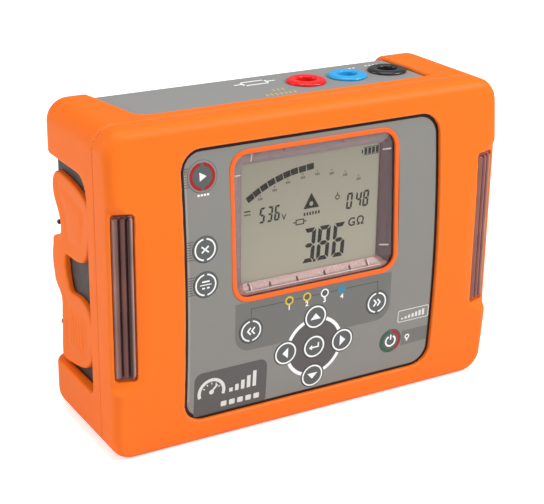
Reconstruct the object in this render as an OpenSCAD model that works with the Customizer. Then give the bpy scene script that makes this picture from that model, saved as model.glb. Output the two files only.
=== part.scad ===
// Hand-held insulation resistance tester: a crowned front panel with a display and keys,
// two shock-absorbing bumpers over a two-part case, three 4 mm sockets on top,
// hinged rubber covers over the side sockets, and a battery compartment at the back.
// The origin is the centre of the underside. X runs to the right, Y to the back, Z up.

/* [Body] */
// Overall width across the bumpers
body_w = 200; // [198:0.5:202]
// Overall height
body_h = 150; // [149.5:0.25:150.5]
// Overall depth, front crown to the back of the corner guards
body_d = 75; // [74.5:0.25:76]
// Corner radius of the outline seen from the front
corner_r = 10; // [9:0.5:12]
// Radius of the rear edges
rear_r = 11; // [10:0.5:12]
// Radius of the crowned front face
crown_r = 575; // [540:5:640]
// Height of the most forward line of the crown
crown_z = 70; // [67:1:73]
// Depth of the parting line behind the crown
seam_y = 17; // [16.8:0.1:17.4]

/* [Front panel] */
// Width of the window in the front bumper
panel_w = 132.4; // [131:0.2:134]
// Height of the window in the front bumper
panel_h = 126.2; // [125:0.2:127]
// Height of the centre of that window
panel_z = 75.2; // [75:0.1:75.4]
// Gap between the window's edge and the printed panel
panel_gap = 1.3; // [1:0.1:1.5]
// Depth of the printed panel behind the bumper's face
panel_drop = 1.5; // [1.3:0.1:1.6]

/* [Display] */
// Width over the display ring
display_w = 87.2; // [86.8:0.2:87.6]
// Height over the display ring
display_h = 69.2; // [69:0.1:69.6]
// Height of the display's centre
display_z = 100.1; // [100:0.1:100.2]
// Distance of the display's centre to the right of the middle
display_x = 0.6; // [0.4:0.1:0.8]
// Flat width of the ring
ring_t = 2.2; // [2.1:0.1:2.3]

/* [Keys] */
// Centre of the column of three keys at the left
left_keys_x = -56; // [-56.4:0.1:-55.8]
// Distance from the middle key of the cross to its neighbours
cross_pitch = 15.2; // [15:0.1:15.6]
// Height of the middle of the cross
cross_z = 35.7; // [35.4:0.1:36]
// Radius of the test key
test_key_r = 7; // [6.5:0.1:7.2]
// Radius of the other keys
key_r = 6; // [5.5:0.1:6.2]
// Clearance around each key
key_gap = 0.3; // [0.25:0.05:0.35]
// Travel of a key
key_travel = 0.4; // [0.3:0.05:0.45]

/* [Sockets] */
// Position of the first 4 mm socket along the width
socket_x = 19.3; // [18:0.1:20]
// Distance between neighbouring sockets
socket_pitch = 22.5; // [21.5:0.1:23]
// Distance of the sockets behind the crown
socket_y = 45.2; // [44.5:0.1:46]
// Outer radius of the coloured collar
collar_r = 9.4; // [9:0.1:9.6]
// Radius of the well around the contact
well_r = 4.9; // [4.6:0.1:5]
// Radius of the contact's bore, for a 4 mm plug
contact_bore_r = 2; // [2:0.01:2.02]

/* [Battery] */
// Diameter of one cell
cell_d = 26; // [25:0.1:26.2]
// Length of one cell
cell_l = 49.4; // [48.5:0.1:49.6]

/* [Hidden] */

orange = [1, 0.42, 0.13];
dark_grey = [0.2, 0.2, 0.21];
soft_black = [0.1, 0.1, 0.1];
deep_black = [0.06, 0.06, 0.06];
steel = [0.6, 0.6, 0.62];
brass = [0.8, 0.7, 0.4];
board_green = [0.1, 0.35, 0.2];

// Limits along an axis are pairs [low, high]
function span(middle, half) = [middle - half, middle + half];
function grow(limits, by) = [limits[0] - by, limits[1] + by];

// Limits of cuts that run out of the body
past_side = body_w/2 + 1;
past_back = body_d + 5;
past_top = body_h + 10;

// Case, set back from the bumpers
mid_z = body_h/2;
case_gx = 5.8;                       // at the sides
case_gy = 3;                         // at the back
case_gz = 3;                         // at the top and bottom
case_half_w = body_w/2 - case_gx;
case_h = body_h - 2*case_gz;
case_back = body_d - case_gy;
face_w = 162;                        // crowned part of the front case
face_r = 6.8;
flange_r = 7;                        // wider part of the front case behind it
flange_y = 9.6;
wall = 2.5;
fit = 0.2;                           // clearance between fitted parts
case_screw_x = 86.5;
case_screw_zs = [30, 120];
case_screw_places = [for (x = [-case_screw_x, case_screw_x], z = case_screw_zs) [x, z]];
case_post_r = 4.2;

// Seals: the case seal's outer size, and the section width of both seals
seal_w = 1.2;
case_seal_w = 187.1;
case_seal_h = 142.7;
case_seal_r = 6;

// Openings in the rear bumper
side_open_y = 26;
side_open_z = [25, 125];
side_open_r = 8;
top_open_x = 75.2;
top_open_y = 24.8;
top_open_r = 6;

// Front panel, depths measured behind the crown
panel_r = 10;
overlay_r = 8.8;
overlay_t = 0.6;
ring_r = 9;
plate_d = 2.3;                       // front plate of the case
cap_d = panel_drop - 0.2;            // key faces stand 0.2 proud of the panel
cross_x = 0.3;
keys = [                             // name, x, z, radius
  ["test_key", left_keys_x, 126, test_key_r],
  ["escape_key", left_keys_x, 94, key_r],
  ["select_key", left_keys_x, 77.9, key_r],
  ["previous_key", -33.4, 51.1, key_r],
  ["next_key", 33.8, 51.1, key_r],
  ["up_key", cross_x, cross_z + cross_pitch, key_r],
  ["down_key", cross_x, cross_z - cross_pitch, key_r],
  ["left_key", cross_x - cross_pitch, cross_z, key_r],
  ["right_key", cross_x + cross_pitch, cross_z, key_r],
  ["enter_key", cross_x, cross_z, key_r],
  ["power_key", 43.3, 28.8, key_r]];

// Grip inserts
insert_x = [-4.6, 4.6];
insert_y = [-0.9, 1.1];
insert_z = [-37.4, 37.4];

// Sockets
socket_xs = [for (i = [0:2]) socket_x + i*socket_pitch];
socket_body_r = 7;
charge_yz = [51, 98];                // centre of the charging socket
data_yz = [50, 45];                  // centre of the data socket
stud_y = 69;
upper_stud_z = 92;
lower_stud_z = 43;

// Boards
board_t = 1.6;
switch_y = 8.3;                      // front of the dome switches
keypad_board_y = 9.1;
main_board_y = 28;
part_y = main_board_y + board_t + 0.2; // front of the parts behind the main board
board_screw_places = [for (x = [-76, 76], z = [84, 132]) [x, z]];

// Battery bay, its cover and the rating plate
bay_x = [-79, 79];
bay_z = [12, 71];
bay_front = 42;
cover_x = [-82, 82];
cover_z = [9, 83.2];
cover_y = case_back - 2;             // front of the cover's plate
cover_screw_places = [[-60, 78.5], [60, 78.5]];
cover_seal_x = grow(cover_x, -fit);
cover_seal_z = [9.2, 73.8];
plate_x = [-39.8, 39.8];
plate_z = [94.2, 123.8];

// ---- helpers; all parts are drawn with y = 0 on the crown's most forward line ----

// Puts the origin at the centre of the underside
module placed() translate([0, -body_d/2, 0]) children();

// Rounded rectangle about the origin
module rounded_rect(width, height, radius) {
  square([width - 2*radius, height], center = true);
  square([width, height - 2*radius], center = true);
  for (x = [-1, 1], z = [-1, 1])
    translate([x*(width/2 - radius), z*(height/2 - radius)]) circle(r = radius, $fn = 64);
}

// Block with rounded corners seen from the front, centred on (x, z)
module slab(width, height, radius, y, x = 0, z = mid_z)
  translate([x, y[1], z]) rotate([90, 0, 0]) linear_extrude(height = y[1] - y[0])
    rounded_rect(width, height, radius);

module block(x, y, z)
  translate([x[0], y[0], z[0]]) cube([x[1] - x[0], y[1] - y[0], z[1] - z[0]]);

// Rods along each axis
module rod_x(y, z, radius, x)
  translate([x[0], y, z]) rotate([0, 90, 0]) cylinder(r = radius, h = x[1] - x[0], $fn = 48);
module rod_y(x, z, radius, y)
  translate([x, y[0], z]) rotate([-90, 0, 0]) cylinder(r = radius, h = y[1] - y[0], $fn = 48);
module rod_z(x, y, radius, z, fn = 48)
  translate([x, y, z[0]]) cylinder(r = radius, h = z[1] - z[0], $fn = fn);

// Equal rods along Y at a list of [x, z] places
module rods_y(places, radius, y) for (place = places) rod_y(place[0], place[1], radius, y);

// Equal rods along Z on the axes of the 4 mm sockets
module socket_rods(radius, z) for (x = socket_xs) rod_z(x, socket_y, radius, z);

// Everything behind the crowned surface at a depth
module crown(depth)
  translate([0, crown_r, crown_z]) rotate([0, 90, 0])
    cylinder(r = crown_r - depth, h = body_w + 20, center = true, $fn = 720);

// The part of the children between two depths under the crown
module crown_layer(outer_depth, inner_depth) difference() {
  intersection() {
    children();
    crown(outer_depth);
  }
  crown(inner_depth);
}

// The display ring's outline, inset evenly
module display_slab(inset, y)
  slab(display_w - 2*inset, display_h - 2*inset, ring_r - inset, y, display_x, display_z);

// Outer form, inset on each axis; plan_r replaces the rear edge radius seen from above
module form(inset_x, inset_y, inset_z, y, plan_r = 0) {
  width = body_w - 2*inset_x;
  height = body_h - 2*inset_z;
  depth = body_d - inset_y;
  edge_r = rear_r - inset_z;
  side_r = plan_r > 0 ? plan_r : edge_r;
  intersection() {
    slab(width, height, corner_r - inset_z, y);
    // seen from above
    translate([0, 0, -1]) linear_extrude(height = body_h + 2) {
      translate([-width/2, -2]) square([width, depth + 2 - side_r]);
      translate([-width/2 + side_r, -2]) square([width - 2*side_r, depth + 2]);
      for (x = [-1, 1])
        translate([x*(width/2 - side_r), depth - side_r]) circle(r = side_r, $fn = 64);
    }
    // seen from the side
    side_plate([-body_w/2 - 1, body_w/2 + 1]) {
      translate([-2, inset_z]) square([depth + 2 - edge_r, height]);
      translate([-2, inset_z + edge_r]) square([depth + 2, height - 2*edge_r]);
      for (z = [inset_z + edge_r, inset_z + height - edge_r])
        translate([depth - edge_r, z]) circle(r = edge_r, $fn = 64);
    }
  }
}

// Extrudes shapes drawn in (y, z) along X
module side_plate(x)
  translate([x[0], 0, 0]) rotate([90, 0, 90]) linear_extrude(height = x[1] - x[0]) children();

// Frame of a grip insert's face, turned towards the side (-1 left, 1 right)
module insert_frame(side) translate([side*93.2, 3.9, 77.5]) rotate([0, 0, side*17]) children();

// Case seal in the parting plane; a positive margin gives its groove
module case_seal_ring(margin, y) difference() {
  slab(case_seal_w + 2*margin, case_seal_h + 2*margin, case_seal_r + margin, y);
  slab(case_seal_w - 2*seal_w - 2*margin, case_seal_h - 2*seal_w - 2*margin,
    case_seal_r - seal_w - margin, grow(y, 1));
}

// Frame of the battery cover's seal; a positive margin gives its groove
module cover_seal_frame(margin, y) difference() {
  block(grow(cover_seal_x, margin), y, grow(cover_seal_z, margin));
  block(grow(cover_seal_x, -seal_w - margin), grow(y, 1), grow(cover_seal_z, -seal_w - margin));
}

// ---- shells ----

// Opening over the socket panel, inset evenly; its left front corner is rounded
module top_opening(inset, z) {
  front = top_open_y + inset;
  right = top_open_x - inset;
  corner = [-top_open_x + top_open_r, top_open_y + top_open_r];
  translate([0, 0, z[0]]) linear_extrude(height = z[1] - z[0]) {
    polygon([[corner[0], front], [right, front], [right, 90], [-84 + inset, 90],
      [-top_open_x + inset, corner[1]], corner]);
    translate(corner) circle(r = top_open_r - inset, $fn = 64);
  }
}

module front_bumper() color(orange) placed() difference() {
  intersection() {
    form(0, 0, 0, [0, seam_y - 0.3]);
    crown(0);
  }
  slab(panel_w, panel_h, panel_r, [-2, 8.5], 0, panel_z);
  // room for the front case
  intersection() {
    slab(face_w + 2*fit, case_h + 2*fit, face_r + fit, [-2, 9.4]);
    crown(plate_d - 0.1);
  }
  slab(2*(case_half_w + fit), case_h + 2*fit, flange_r + fit, [9.2, seam_y + 1]);
  // pocket of each grip insert, and the flat around it
  for (side = [-1, 1]) insert_frame(side) {
    block(grow(insert_x, fit), grow(insert_y, fit), grow(insert_z, 2*fit));
    block(side > 0 ? [-20, 12] : [-12, 20], [-12, -1], [-40.5, 41.5]);
  }
}

module rear_bumper() color(orange) placed() difference() {
  form(0, 0, 0, [seam_y + 0.4, body_d]);
  form(case_gx - fit, case_gy - fit, case_gz - fit, [seam_y - 1, body_d + 1], 2.7);
  // side openings, open to the back
  arc_z = grow(side_open_z, -side_open_r);
  arc_y = side_open_y + side_open_r;
  for (x = [[-past_side, -90], [90, past_side]]) {
    block(x, [arc_y, past_back], side_open_z);
    block(x, [side_open_y, past_back], arc_z);
    for (z = arc_z) rod_x(arc_y, z, side_open_r, x);
  }
  top_opening(0, [140, past_top]);
  // the back is open between the corner guards, down to the battery cover's lower edge
  block([-110, 110], [60, past_back], side_open_z);
  block([-76, top_open_x], [60, past_back], [60, 144]);
  block([-84, 84], [60, past_back], [7.6, 60]);
}

module front_case() color([0.18, 0.18, 0.19]) placed() difference() {
  union() {
    difference() {
      union() {
        intersection() {
          slab(face_w, case_h, face_r, [0, 10]);
          crown(plate_d);
        }
        slab(2*case_half_w, case_h, flange_r, [flange_y, seam_y]);
      }
      // hollow inside
      intersection() {
        slab(face_w - 2*wall, case_h - 2*wall, face_r - wall, [0, 13]);
        crown(plate_d + wall);
      }
      slab(2*(case_half_w - wall), case_h - 2*wall, flange_r - wall,
        [flange_y + wall, seam_y + 1]);
    }
    rods_y(case_screw_places, case_post_r, [11, seam_y]);
  }
  // display opening
  slab(83.2, 65.4, 3, [-1, 12.2], display_x, display_z);
  // key wells and stem holes
  for (key = keys) {
    difference() {
      rod_y(key[1], key[2], key[3] + key_gap + 0.1, [0, 9]);
      crown(plate_d + 1.7);
    }
    rod_y(key[1], key[2], 2.9, [0, 12.2]);
  }
  rods_y(case_screw_places, 2.05, [10.6, seam_y + 1]);
  case_seal_ring(0.1, [seam_y - 0.7, seam_y + 1]);
}

module rear_case() color(dark_grey) placed() difference() {
  union() {
    difference() {
      form(case_gx, case_gy, case_gz, [seam_y + 0.2, body_d], 2.5);
      slab(2*(case_half_w - wall), 136.5, 4.5, [seam_y - 1, 69.5], 0, 73.75);
    }
    // battery bay walls
    block(grow(bay_x, 4), [bay_front - 2, cover_y], grow(bay_z, 4));
    // cover screw posts, tied to the bay
    rods_y(cover_screw_places, 4.6, [52, cover_y]);
    for (place = cover_screw_places) block(span(place[0], 3), [54, cover_y], [74, 79]);
    // case screw posts, tied to the sides
    rods_y(case_screw_places, case_post_r, [seam_y + 0.2, 70]);
    for (side = [-1, 1], z = case_screw_zs) block(span(side*89.75, 3.25), [30, 70], span(z, 1.2));
    // board posts
    rods_y(board_screw_places, 3.6, [31, 70]);
  }
  // battery bay, cover recess and seal groove
  block(bay_x, [bay_front, past_back], bay_z);
  block(grow(cover_x, 0.4), [cover_y - fit, past_back], grow(cover_z, 0.4));
  cover_seal_frame(0.2, [69, past_back]);
  // recess for the socket panel
  intersection() {
    top_opening(0.1, [146.1, past_top]);
    block([-90, 90], [20, 66.8], [140, past_top]);
  }
  socket_rods(socket_body_r + fit, [130, past_top]);
  // side sockets and cover studs
  rod_x(charge_yz[0], charge_yz[1], 6.4, [-past_side, -88]);
  block([-past_side, -88], span(data_yz[0], 7.6), span(data_yz[1], 4.6));
  for (z = [upper_stud_z, lower_stud_z]) rod_x(stud_y, z, 1.3, [-past_side, -84]);
  // screw holes, the case screws with deep heads
  rods_y(case_screw_places, 2.1, [10, past_back]);
  rods_y(case_screw_places, 3.6, [65, past_back]);
  rods_y(cover_screw_places, 2.05, [55, past_back]);
  rods_y(board_screw_places, 1.3, [30, 42]);
  case_seal_ring(0.1, [seam_y - 1, seam_y + 1.2]);
  // rating plate recess
  block(grow(plate_x, fit), [case_back - 0.6, past_back], grow(plate_z, fit));
}

module case_seal() color(soft_black) placed() case_seal_ring(0, [seam_y - 0.6, seam_y + 1.1]);

// Cross-slotted screws
module case_screws() color(steel) placed()
  for (place = case_screw_places) translate([place[0], 0, place[1]]) difference() {
    union() {
      rod_y(0, 0, 1.9, [11, 66]);
      rod_y(0, 0, 3.3, [65.2, 68.4]);
    }
    block([-0.5, 0.5], [67.2, 70], [-2.4, 2.4]);
    block([-2.4, 2.4], [67.2, 70], [-0.5, 0.5]);
  }

module socket_panel() color([0.5, 0.51, 0.53]) placed() difference() {
  intersection() {
    top_opening(0.5, [146.2, 148.3]);
    form(0, 2.8, 1.7, [0, 66.5]);
  }
  socket_rods(socket_body_r + fit, [140, 150]);
}

// ---- front panel ----

module keypad_overlay() color([0.52, 0.53, 0.55]) placed() difference() {
  crown_layer(panel_drop, panel_drop + overlay_t)
    slab(panel_w - 2*panel_gap, panel_h - 2*panel_gap, overlay_r, [-1, 16], 0, panel_z);
  display_slab(-fit, [-2, 10]);
  for (key = keys) rod_y(key[1], key[2], key[3] + key_gap, [-1, 10]);
}

module display_ring() color(orange) placed() difference() {
  crown_layer(panel_drop - 0.4, panel_drop + overlay_t) display_slab(0, [-1, 16]);
  display_slab(ring_t, [-2, 10]);
}

module display_window() color([0.75, 0.7, 0.7, 0.35]) placed()
  crown_layer(panel_drop + 0.1, panel_drop + 1.3) display_slab(ring_t + fit, [-1, 16]);

// Stepped frame behind the window
module display_frame() color([0.45, 0.33, 0.32, 0.7]) placed() difference() {
  intersection() {
    slab(display_w - 2*ring_t - 0.6, display_h - 2*ring_t - 0.6, 6, [0, 7.1],
      display_x, display_z);
    crown(panel_drop + 1.5);
  }
  slab(71.4, 55.2, 1.5, [-2, 10], 0, 99.8);
  slab(76.4, 60, 3, [-2, 5], display_x/2, display_z);
}

module lcd_module() color([0.66, 0.65, 0.58]) placed() {
  block([-40, 40], [9.6, 12.8], [68.6, 131.6]);
  block([-38.4, 38.4], [7.3, 9.8], [70.6, 129.4]);
}

// One key: a crowned cap on a stem
module key_piece(name) {
  key = [for (entry = keys) if (entry[0] == name) entry][0];
  crown_layer(cap_d, plate_d + 1.2) rod_y(key[1], key[2], key[3], [-1, 12]);
  difference() {
    rod_y(key[1], key[2], 2.5, [3, switch_y - key_travel - 0.1]);
    // trims the stem's front to the crown
    difference() {
      rod_y(key[1], key[2], 3, [-1, 9]);
      crown(plate_d + 1);
    }
  }
}
module test_key() color([0.55, 0.1, 0.1]) placed() key_piece("test_key");
module escape_key() color(dark_grey) placed() key_piece("escape_key");
module select_key() color(dark_grey) placed() key_piece("select_key");
module previous_key() color(dark_grey) placed() key_piece("previous_key");
module next_key() color(dark_grey) placed() key_piece("next_key");
module up_key() color(dark_grey) placed() key_piece("up_key");
module down_key() color(dark_grey) placed() key_piece("down_key");
module left_key() color(dark_grey) placed() key_piece("left_key");
module right_key() color(dark_grey) placed() key_piece("right_key");
module enter_key() color(dark_grey) placed() key_piece("enter_key");
module power_key() color(dark_grey) placed() key_piece("power_key");

// Insert in a front corner with three upright, round-ended ribs
module grip_insert(side) insert_frame(side) {
  rib_r = 0.5;
  rib_half = 34.5;
  block(insert_x, insert_y, insert_z);
  for (x = [-2.7, 0, 2.7]) {
    block(span(x, rib_r), [-1.5, -0.5], [-rib_half, rib_half]);
    for (z = [-rib_half, rib_half])
      translate([x, -0.6, z]) rotate([90, 0, 0]) cylinder(r = rib_r, h = 0.9, $fn = 24);
  }
}
module left_grip_insert() color([0.4, 0.3, 0.28]) placed() grip_insert(-1);
module right_grip_insert() color([0.4, 0.3, 0.28]) placed() grip_insert(1);

// ---- 4 mm sockets ----

module socket(x) difference() {
  union() {
    rod_z(x, socket_y, collar_r, [148.4, body_h], 64);
    rod_z(x, socket_y, socket_body_r, [122, 149]);
  }
  rod_z(x, socket_y, well_r, [127, body_h + 1]);
  rod_z(x, socket_y, 1.7, [121, 128]);
}
module red_socket() color([0.85, 0.08, 0.08]) placed() socket(socket_xs[0]);
module blue_socket() color([0.1, 0.35, 0.85]) placed() socket(socket_xs[1]);
module black_socket() color(deep_black) placed() socket(socket_xs[2]);

// Bored contacts with a thin tail down to the terminal board
module socket_contacts() color(brass) placed()
  for (x = socket_xs) difference() {
    union() {
      rod_z(x, socket_y, 3, [127.2, 147.4]);
      rod_z(x, socket_y, 1.4, [112, 128]);
    }
    rod_z(x, socket_y, contact_bore_r, [129.4, 150]);
  }

module socket_nuts() color([0.75, 0.75, 0.72]) placed()
  for (x = socket_xs) difference() {
    rod_z(x, socket_y, 9.8, [137.4, 141.8], 6);
    rod_z(x, socket_y, socket_body_r + 0.15, [130, 145]);
  }

// ---- rubber covers over the side sockets, on the left ----

flap_x = [-97.2, -case_half_w - fit];
plug_x = [-94.6, -93];               // plugs on the covers' inner faces
// Outlines seen from the side: y, z
upper_outline = [[70, 82], [54, 82], [44, 82.6], [36, 86], [31.4, 95], [31, 107],
  [34, 111.4], [41, 114.6], [58, 117], [70, 116.6]];
lower_outline = [[70, 62.2], [52, 62.2], [39, 62], [33, 59], [31.4, 50], [33, 39.5],
  [37, 34], [43, 30.6], [66, 26.4], [70, 26.4]];

module cover_anchor() color(orange) placed() {
  side_plate([-99.4, flap_x[1]]) polygon([[54, 65.2], [70, 65.2], [70, 79], [54, 79]]);
  rod_x(62, 72, 2.2, [-94.6, -94.3]);
}

// Plate notched around its stud, with a round bead along the edge next to the anchor
module flap(outline, stud_z, bead_z) {
  difference() {
    side_plate(flap_x) polygon(outline);
    rod_x(71, stud_z, 4.6, [-past_side, -90]);
  }
  rod_y((flap_x[0] + flap_x[1])/2, bead_z, 1.5, [54.5, 69.5]);
}
module upper_socket_cover() color(orange) placed() {
  flap(upper_outline, upper_stud_z, 80.8);
  rod_x(charge_yz[0], charge_yz[1], 5.6, plug_x);
}
module lower_socket_cover() color(orange) placed() {
  flap(lower_outline, lower_stud_z, 63.4);
  block(plug_x, span(data_yz[0], 6.8), span(data_yz[1], 3.8));
}
module cover_studs() color(deep_black) placed()
  for (z = [upper_stud_z, lower_stud_z]) {
    rod_x(stud_y, z, 1.2, [-95.6, -87]);
    rod_x(stud_y, z, 1.8, [-96.4, -95.2]);
  }

module charging_socket() color([0.12, 0.12, 0.12]) placed() difference() {
  union() {
    rod_x(charge_yz[0], charge_yz[1], 5.2, [-92.4, -90]);
    block([-91.4, -80], span(charge_yz[0], 8), span(charge_yz[1], 8));
  }
  rod_x(charge_yz[0], charge_yz[1], 3, [-95, -84]);
}
module data_socket() color([0.35, 0.35, 0.37]) placed() difference() {
  block([-91.4, -83.4], span(data_yz[0], 8), span(data_yz[1], 6));
  block([-95, -86], span(data_yz[0], 4.5), span(data_yz[1], 2));
}

// ---- electronics ----

module keypad_board() color(board_green) placed() {
  y = [keypad_board_y, keypad_board_y + board_t];
  block([-66, 66], y, [9, 64.5]);
  block([-66, -46], y, [64, 135]);
}
module dome_switches() color([0.75, 0.75, 0.77]) placed()
  for (key = keys) rod_y(key[1], key[2], 4, [switch_y, keypad_board_y - 0.05]);
module main_board() color(board_green) placed() difference() {
  block([-81.5, 81.5], [main_board_y, main_board_y + board_t], [12, 137]);
  rods_y(board_screw_places, 1.7, [20, 40]);
}
module board_standoffs() color(brass) placed()
  for (place = board_screw_places) difference() {
    rod_y(place[0], place[1], 3, [29.7, 30.9]);
    rod_y(place[0], place[1], 1.6, [20, 40]);
  }
module board_screws() color([0.7, 0.7, 0.7]) placed() {
  head_back = main_board_y - 0.1;
  rods_y(board_screw_places, 1.2, [head_back, 40]);
  rods_y(board_screw_places, 2.6, [head_back - 1.5, head_back]);
}
module terminal_board() color(board_green) placed() difference() {
  block([6, 80], [31, 60], [114, 114 + board_t]);
  socket_rods(1.6, [110, 120]);
}
module hv_transformer() color([0.25, 0.2, 0.12]) placed() {
  block([-62, -34], [part_y, 52], [92, 118]);
  rod_y(-48, 105, 9, [51, 56]);
}
module relays() color([0.15, 0.25, 0.6]) placed()
  for (x = [17, 41, 65]) block(span(x, 9), [part_y, 41], [88, 104]);
module hv_capacitors() color([0.8, 0.45, 0.1]) placed()
  for (x = [-22, -8]) block(span(x, 5), [part_y, 46], [92, 122]);
module buzzer() color([0.07, 0.07, 0.07]) placed() difference() {
  rod_y(-55, 30, 8.5, [19.5, 27.8]);
  rod_y(-55, 30, 1.2, [19, 23]);
}

// Flat run between the two boards, turned up at both ends
module ribbon_cable() color([0.8, 0.8, 0.82]) placed() {
  block([-20, 20], [10.8, 27.8], [14, 14.8]);
  for (y = [[10.8, 11.6], [27, 27.8]]) block([-20, 20], y, [14, 18]);
}

// ---- battery ----

cell_rows = [bay_z[0] + 1 + cell_d/2, bay_z[1] - 1 - cell_d/2];
cell_y = bay_front + 1 + cell_d/2;
cell_pitch = cell_l + 1.4;
cell_places = [[-1, 0], [0, 0], [1, 0], [-1, 1], [0, 1]]; // column from the middle, row

module battery_cells() color([0.15, 0.3, 0.55]) placed()
  for (place = cell_places) translate([place[0]*cell_pitch, 0, 0]) {
    rod_x(cell_y, cell_rows[place[1]], cell_d/2, [-cell_l/2, cell_l/2 - 1.6]);
    rod_x(cell_y, cell_rows[place[1]], 3.8, [cell_l/2 - 2, cell_l/2]);
  }
module battery_contacts() color([0.78, 0.78, 0.75]) placed()
  for (side = [-1, 1], z = cell_rows)
    block(span(side*(bay_x[1] - 0.4), 0.2), span(cell_y, 8), span(z, 8));

// Three rings that narrow towards each cell
module battery_springs() color([0.8, 0.8, 0.78]) placed()
  for (z = cell_rows, i = [0:2])
    translate([bay_x[0] + 1.05 + i*0.75, cell_y, z]) rotate([0, 90, 0])
      rotate_extrude($fn = 48) translate([6.4 - i*1.1, 0]) circle(r = 0.4, $fn = 16);

// Plate with a lip inside the bay and ribs across the back
module battery_cover() color(dark_grey) placed() difference() {
  union() {
    block(cover_x, [cover_y, case_back], cover_z);
    block(grow(bay_x, -0.6), [cover_y - 0.8, cover_y + 0.2], grow(bay_z, -0.6));
    for (i = [0:5])
      block([-60, 60], [case_back - 0.2, case_back + 0.8], [18 + 8*i, 20.4 + 8*i]);
  }
  rods_y(cover_screw_places, 2.3, [60, past_back]);
}
module cover_screws() color(steel) placed()
  for (place = cover_screw_places) translate([place[0], 0, place[1]]) difference() {
    union() {
      rod_y(0, 0, 1.9, [56, 72.4]);
      rod_y(0, 0, 3.9, [72.1, 74.2]);
    }
    block([-2.8, 2.8], [73.2, 75], [-0.5, 0.5]);
  }
module cover_seal() color(soft_black) placed() cover_seal_frame(0, [69.1, 69.9]);
module rating_plate() color([0.75, 0.76, 0.78]) placed()
  block(plate_x, [case_back - 0.5, case_back - 0.1], plate_z);

front_bumper();
rear_bumper();
front_case();
rear_case();
case_seal();
case_screws();
socket_panel();
keypad_overlay();
display_ring();
display_window();
display_frame();
lcd_module();
test_key();
escape_key();
select_key();
previous_key();
next_key();
up_key();
down_key();
left_key();
right_key();
enter_key();
power_key();
left_grip_insert();
right_grip_insert();
red_socket();
blue_socket();
black_socket();
socket_contacts();
socket_nuts();
cover_anchor();
upper_socket_cover();
lower_socket_cover();
cover_studs();
charging_socket();
data_socket();
keypad_board();
dome_switches();
main_board();
terminal_board();
hv_transformer();
relays();
hv_capacitors();
buzzer();
ribbon_cable();
board_standoffs();
board_screws();
battery_cells();
battery_contacts();
battery_springs();
battery_cover();
cover_screws();
cover_seal();
rating_plate();
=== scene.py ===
# A hand-held tester with a display and keypad on its front, three sockets on its top, orange
# rubber bumpers round a dark case, and two rubber socket covers on its left side.
# It stands upright: x runs across it (left is -x), y from front to back, z up.
# Shapes are drawn in millimetres with y = 0 on the front crown, and moved into the shared
# frame, in metres, when a mesh is made.
import math
import bpy
import bmesh
import numpy as np
import openvdb as vdb
from mathutils import Matrix, Vector


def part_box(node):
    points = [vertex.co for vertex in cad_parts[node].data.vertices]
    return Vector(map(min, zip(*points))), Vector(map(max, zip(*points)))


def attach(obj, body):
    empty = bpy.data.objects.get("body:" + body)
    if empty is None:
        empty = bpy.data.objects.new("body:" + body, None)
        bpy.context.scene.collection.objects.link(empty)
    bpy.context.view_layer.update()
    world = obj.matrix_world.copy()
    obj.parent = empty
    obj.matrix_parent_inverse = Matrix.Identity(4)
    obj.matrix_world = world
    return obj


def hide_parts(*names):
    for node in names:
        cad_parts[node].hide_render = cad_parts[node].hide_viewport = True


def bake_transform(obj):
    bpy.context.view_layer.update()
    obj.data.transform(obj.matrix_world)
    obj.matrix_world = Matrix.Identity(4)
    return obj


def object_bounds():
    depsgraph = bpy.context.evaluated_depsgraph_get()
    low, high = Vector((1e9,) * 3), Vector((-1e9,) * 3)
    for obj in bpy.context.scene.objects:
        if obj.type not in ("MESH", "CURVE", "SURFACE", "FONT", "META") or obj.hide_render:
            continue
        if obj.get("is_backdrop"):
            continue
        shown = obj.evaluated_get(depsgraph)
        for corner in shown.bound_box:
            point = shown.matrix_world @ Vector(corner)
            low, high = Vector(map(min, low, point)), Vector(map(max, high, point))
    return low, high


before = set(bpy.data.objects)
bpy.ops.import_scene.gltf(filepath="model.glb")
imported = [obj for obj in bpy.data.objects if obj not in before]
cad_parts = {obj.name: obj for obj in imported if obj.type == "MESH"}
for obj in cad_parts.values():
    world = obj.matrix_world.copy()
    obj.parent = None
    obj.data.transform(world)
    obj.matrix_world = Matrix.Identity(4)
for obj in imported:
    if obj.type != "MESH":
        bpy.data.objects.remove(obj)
low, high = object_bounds()
CAD_BOX = [list(map(float, low)), list(map(float, high))]

MM = 0.001
FRONT_Y = float(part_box("front_bumper")[0].y) * 1000.0     # the crown's most forward line
WIDTH = (CAD_BOX[1][0] - CAD_BOX[0][0]) * 1000.0
HEIGHT = (CAD_BOX[1][2] - CAD_BOX[0][2]) * 1000.0
CROWN_R, CROWN_Z = 575.0, 70.0                            # the front bulges on a long arc in z


# ------------------------------------------------------------------ frame
def node_box(node):
    """Low and high corners of a CAD piece in drawing millimetres."""
    corners = [[c * 1000.0 for c in corner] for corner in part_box(node)]
    return [(x, y - FRONT_Y, z) for x, y, z in corners]


def centre(node):
    low, high = node_box(node)
    return [(low[i] + high[i]) / 2 for i in range(3)]


def crown(z):
    return CROWN_R - np.sqrt(CROWN_R * CROWN_R - (np.asarray(z, float) - CROWN_Z) ** 2)


def on_crown(depth):
    """Depth function for a face that follows the crown, this far behind it."""
    return lambda x, z: crown(z) + depth


def to_world(points):
    points = np.asarray(points, float).reshape(-1, 3).copy()
    points[:, 1] += FRONT_Y
    return points * MM


COLLECTION = bpy.context.scene.collection


def tag(replaces=()):
    if replaces:
        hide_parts(*replaces)


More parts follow.
